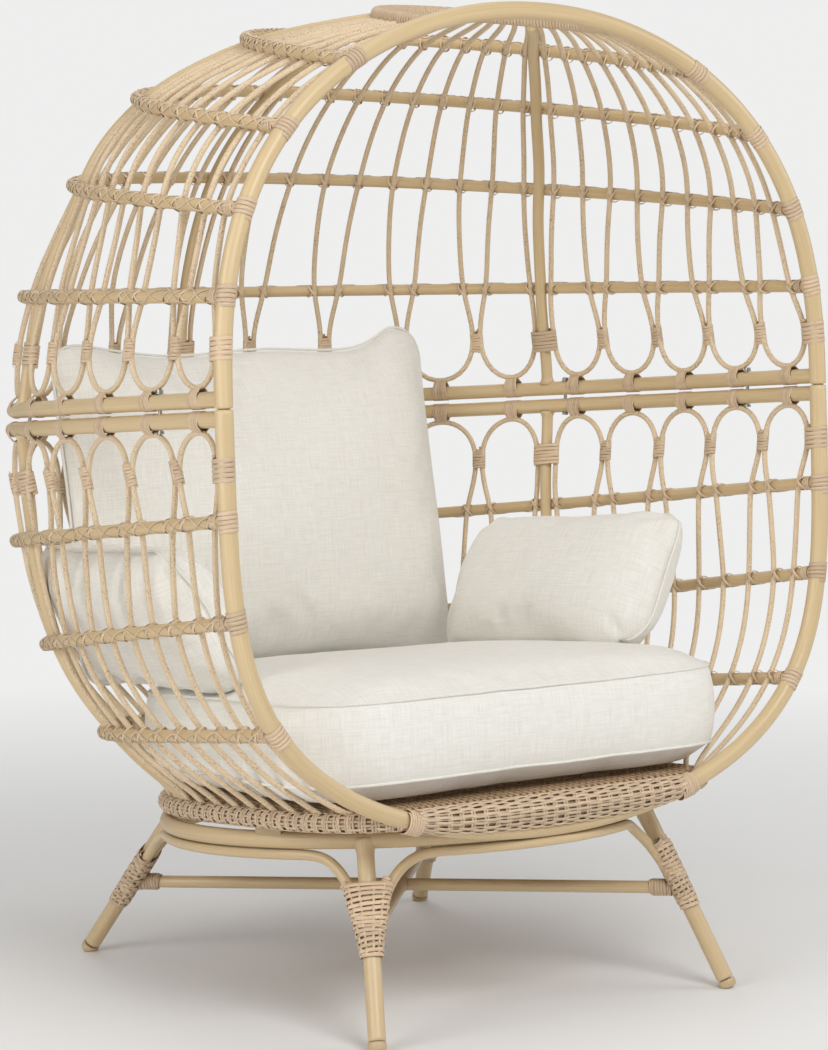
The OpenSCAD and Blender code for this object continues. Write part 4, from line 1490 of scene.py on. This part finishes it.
back_cushion()
arm_pillow("right", 1, slope=.086, centre=(.400, .104, .620))
arm_pillow("left", -1, slope=.070, centre=(-.440, .140, .619))
seat_cushion()

# ------------------------------------------------------------------ floor, light, camera
PALE = (.86, .86, .855, 1)


def floor_material():
    """Pale floor that fades, for the camera only, into the tone of the surroundings."""
    m = Shader("floor_pale")
    place = m.node("ShaderNodeTexCoord").outputs["Object"]
    cloud = m.noise(place, scale=3.0, detail=3.0, rough=.5)
    m.set(Base_Color=m.mix(cloud, (.88, .877, .87), (.90, .897, .89)), Roughness=.75)
    distance = m.node("ShaderNodeVectorMath", {0: place}, operation="LENGTH").outputs["Value"]
    far = m.ramp(m.math("MULTIPLY", distance, .125), (.13, 0), (.42, 1))
    glow = m.node("ShaderNodeEmission", {"Color": PALE, "Strength": 1.0})
    camera_ray = m.node("ShaderNodeLightPath").outputs["Is Camera Ray"]
    fade = m.node("ShaderNodeMixShader", {0: m.math("MULTIPLY", far, camera_ray),
                                          1: m.surface.outputs[0], 2: glow.outputs[0]})
    output = next(node for node in m.tree.nodes if node.type == "OUTPUT_MATERIAL")
    m.plug(output.inputs[0], fade.outputs[0])
    return m.material


def floor():
    """A disc of rings round a centre point, just below z = 0."""
    sides, z = 48, -.0005
    points = [(0.0, 0.0, z)]
    for radius in (2.0, 5.0, 12.0, 40.0):
        points += [(radius * math.cos(a), radius * math.sin(a), z) for a in full_turn(sides)]
    steps = [(k, (k + 1) % sides) for k in range(sides)]
    faces = [(0, 1 + k, 1 + after) for k, after in steps]
    for first in (1, 1 + sides, 1 + 2 * sides):
        faces += [(first + k, first + sides + k, first + sides + after, first + after)
                  for k, after in steps]
    material = floor_material()
    mesh = bpy.data.meshes.new("floor")
    mesh.from_pydata(points, [], faces)
    mesh.update()
    obj = bpy.data.objects.new("floor", mesh)
    bpy.context.scene.collection.objects.link(obj)
    mesh.materials.append(material)


def studio_world():
    """White surroundings that light softly, and look pale to the camera."""
    world = bpy.data.worlds.new("studio")
    world.use_nodes = True
    nodes, links = world.node_tree.nodes, world.node_tree.links
    light = nodes["Background"]
    seen = nodes.new("ShaderNodeBackground")
    for node, colour, strength in ((light, (1.0, 1.0, 1.0, 1), .30), (seen, PALE, 1.0)):
        node.inputs[0].default_value = colour
        node.inputs[1].default_value = strength
    pick = nodes.new("ShaderNodeMixShader")
    path = nodes.new("ShaderNodeLightPath")
    links.new(path.outputs["Is Camera Ray"], pick.inputs[0])
    links.new(light.outputs[0], pick.inputs[1])
    links.new(seen.outputs[0], pick.inputs[2])
    output = next(node for node in nodes if node.type == "OUTPUT_WORLD")
    links.new(pick.outputs[0], output.inputs[0])
    bpy.context.scene.world = world


# name, place, width and height, watts, colour; all face LIGHT_TARGET
LIGHT_TARGET = Vector((0, 0, .8))
LIGHTS = [
    ("key", (-.6, -3.8, 3.4), (2.2, 2.0), 92, (1, .998, .99)),
    ("fill_left", (-3.8, -.8, 1.9), (2.2, 2.6), 62, (1, 1, 1)),
    ("fill_right", (3.4, -2.2, 2.2), (2.0, 2.2), 34, (1, .998, .99)),
    ("top", (.3, .6, 4.4), (3.0, 3.0), 27, (1, 1, .995)),
    ("rear", (1.6, 4.0, 2.6), (2.6, 2.0), 24, (1, 1, 1))]


def area_light(name, place, size, watts, colour):
    light = bpy.data.lights.new(name, "AREA")
    light.shape = "RECTANGLE"
    light.size, light.size_y = size
    light.energy = watts
    light.color = colour
    obj = bpy.data.objects.new(name, light)
    obj.location = place
    aim = LIGHT_TARGET - Vector(place)
    obj.rotation_euler = aim.to_track_quat("-Z", "Y").to_euler()
    bpy.context.scene.collection.objects.link(obj)


def camera():
    """Long lens, in front of the chair and to its left."""
    data = bpy.data.cameras.new("camera")
    data.sensor_width = 36
    data.lens = 112.4742857
    data.sensor_fit = "AUTO"
    obj = bpy.data.objects.new("camera", data)
    forward = unit([.587, .804, -.095])
    right = square_to([.808, -.590, 0], forward)
    matrix = np.eye(4)
    matrix[:3, 0] = right
    matrix[:3, 1] = np.cross(right, forward)
    matrix[:3, 2] = -forward
    matrix[:3, 3] = (-3.1945, -4.3763 + ORIGIN_Y, 1.2724)
    obj.matrix_world = Matrix(matrix.tolist())
    bpy.context.scene.collection.objects.link(obj)
    bpy.context.scene.camera = obj


floor()
studio_world()
for row in LIGHTS:
    area_light(*row)
camera()
bpy.context.scene.view_settings.view_transform = "Standard"
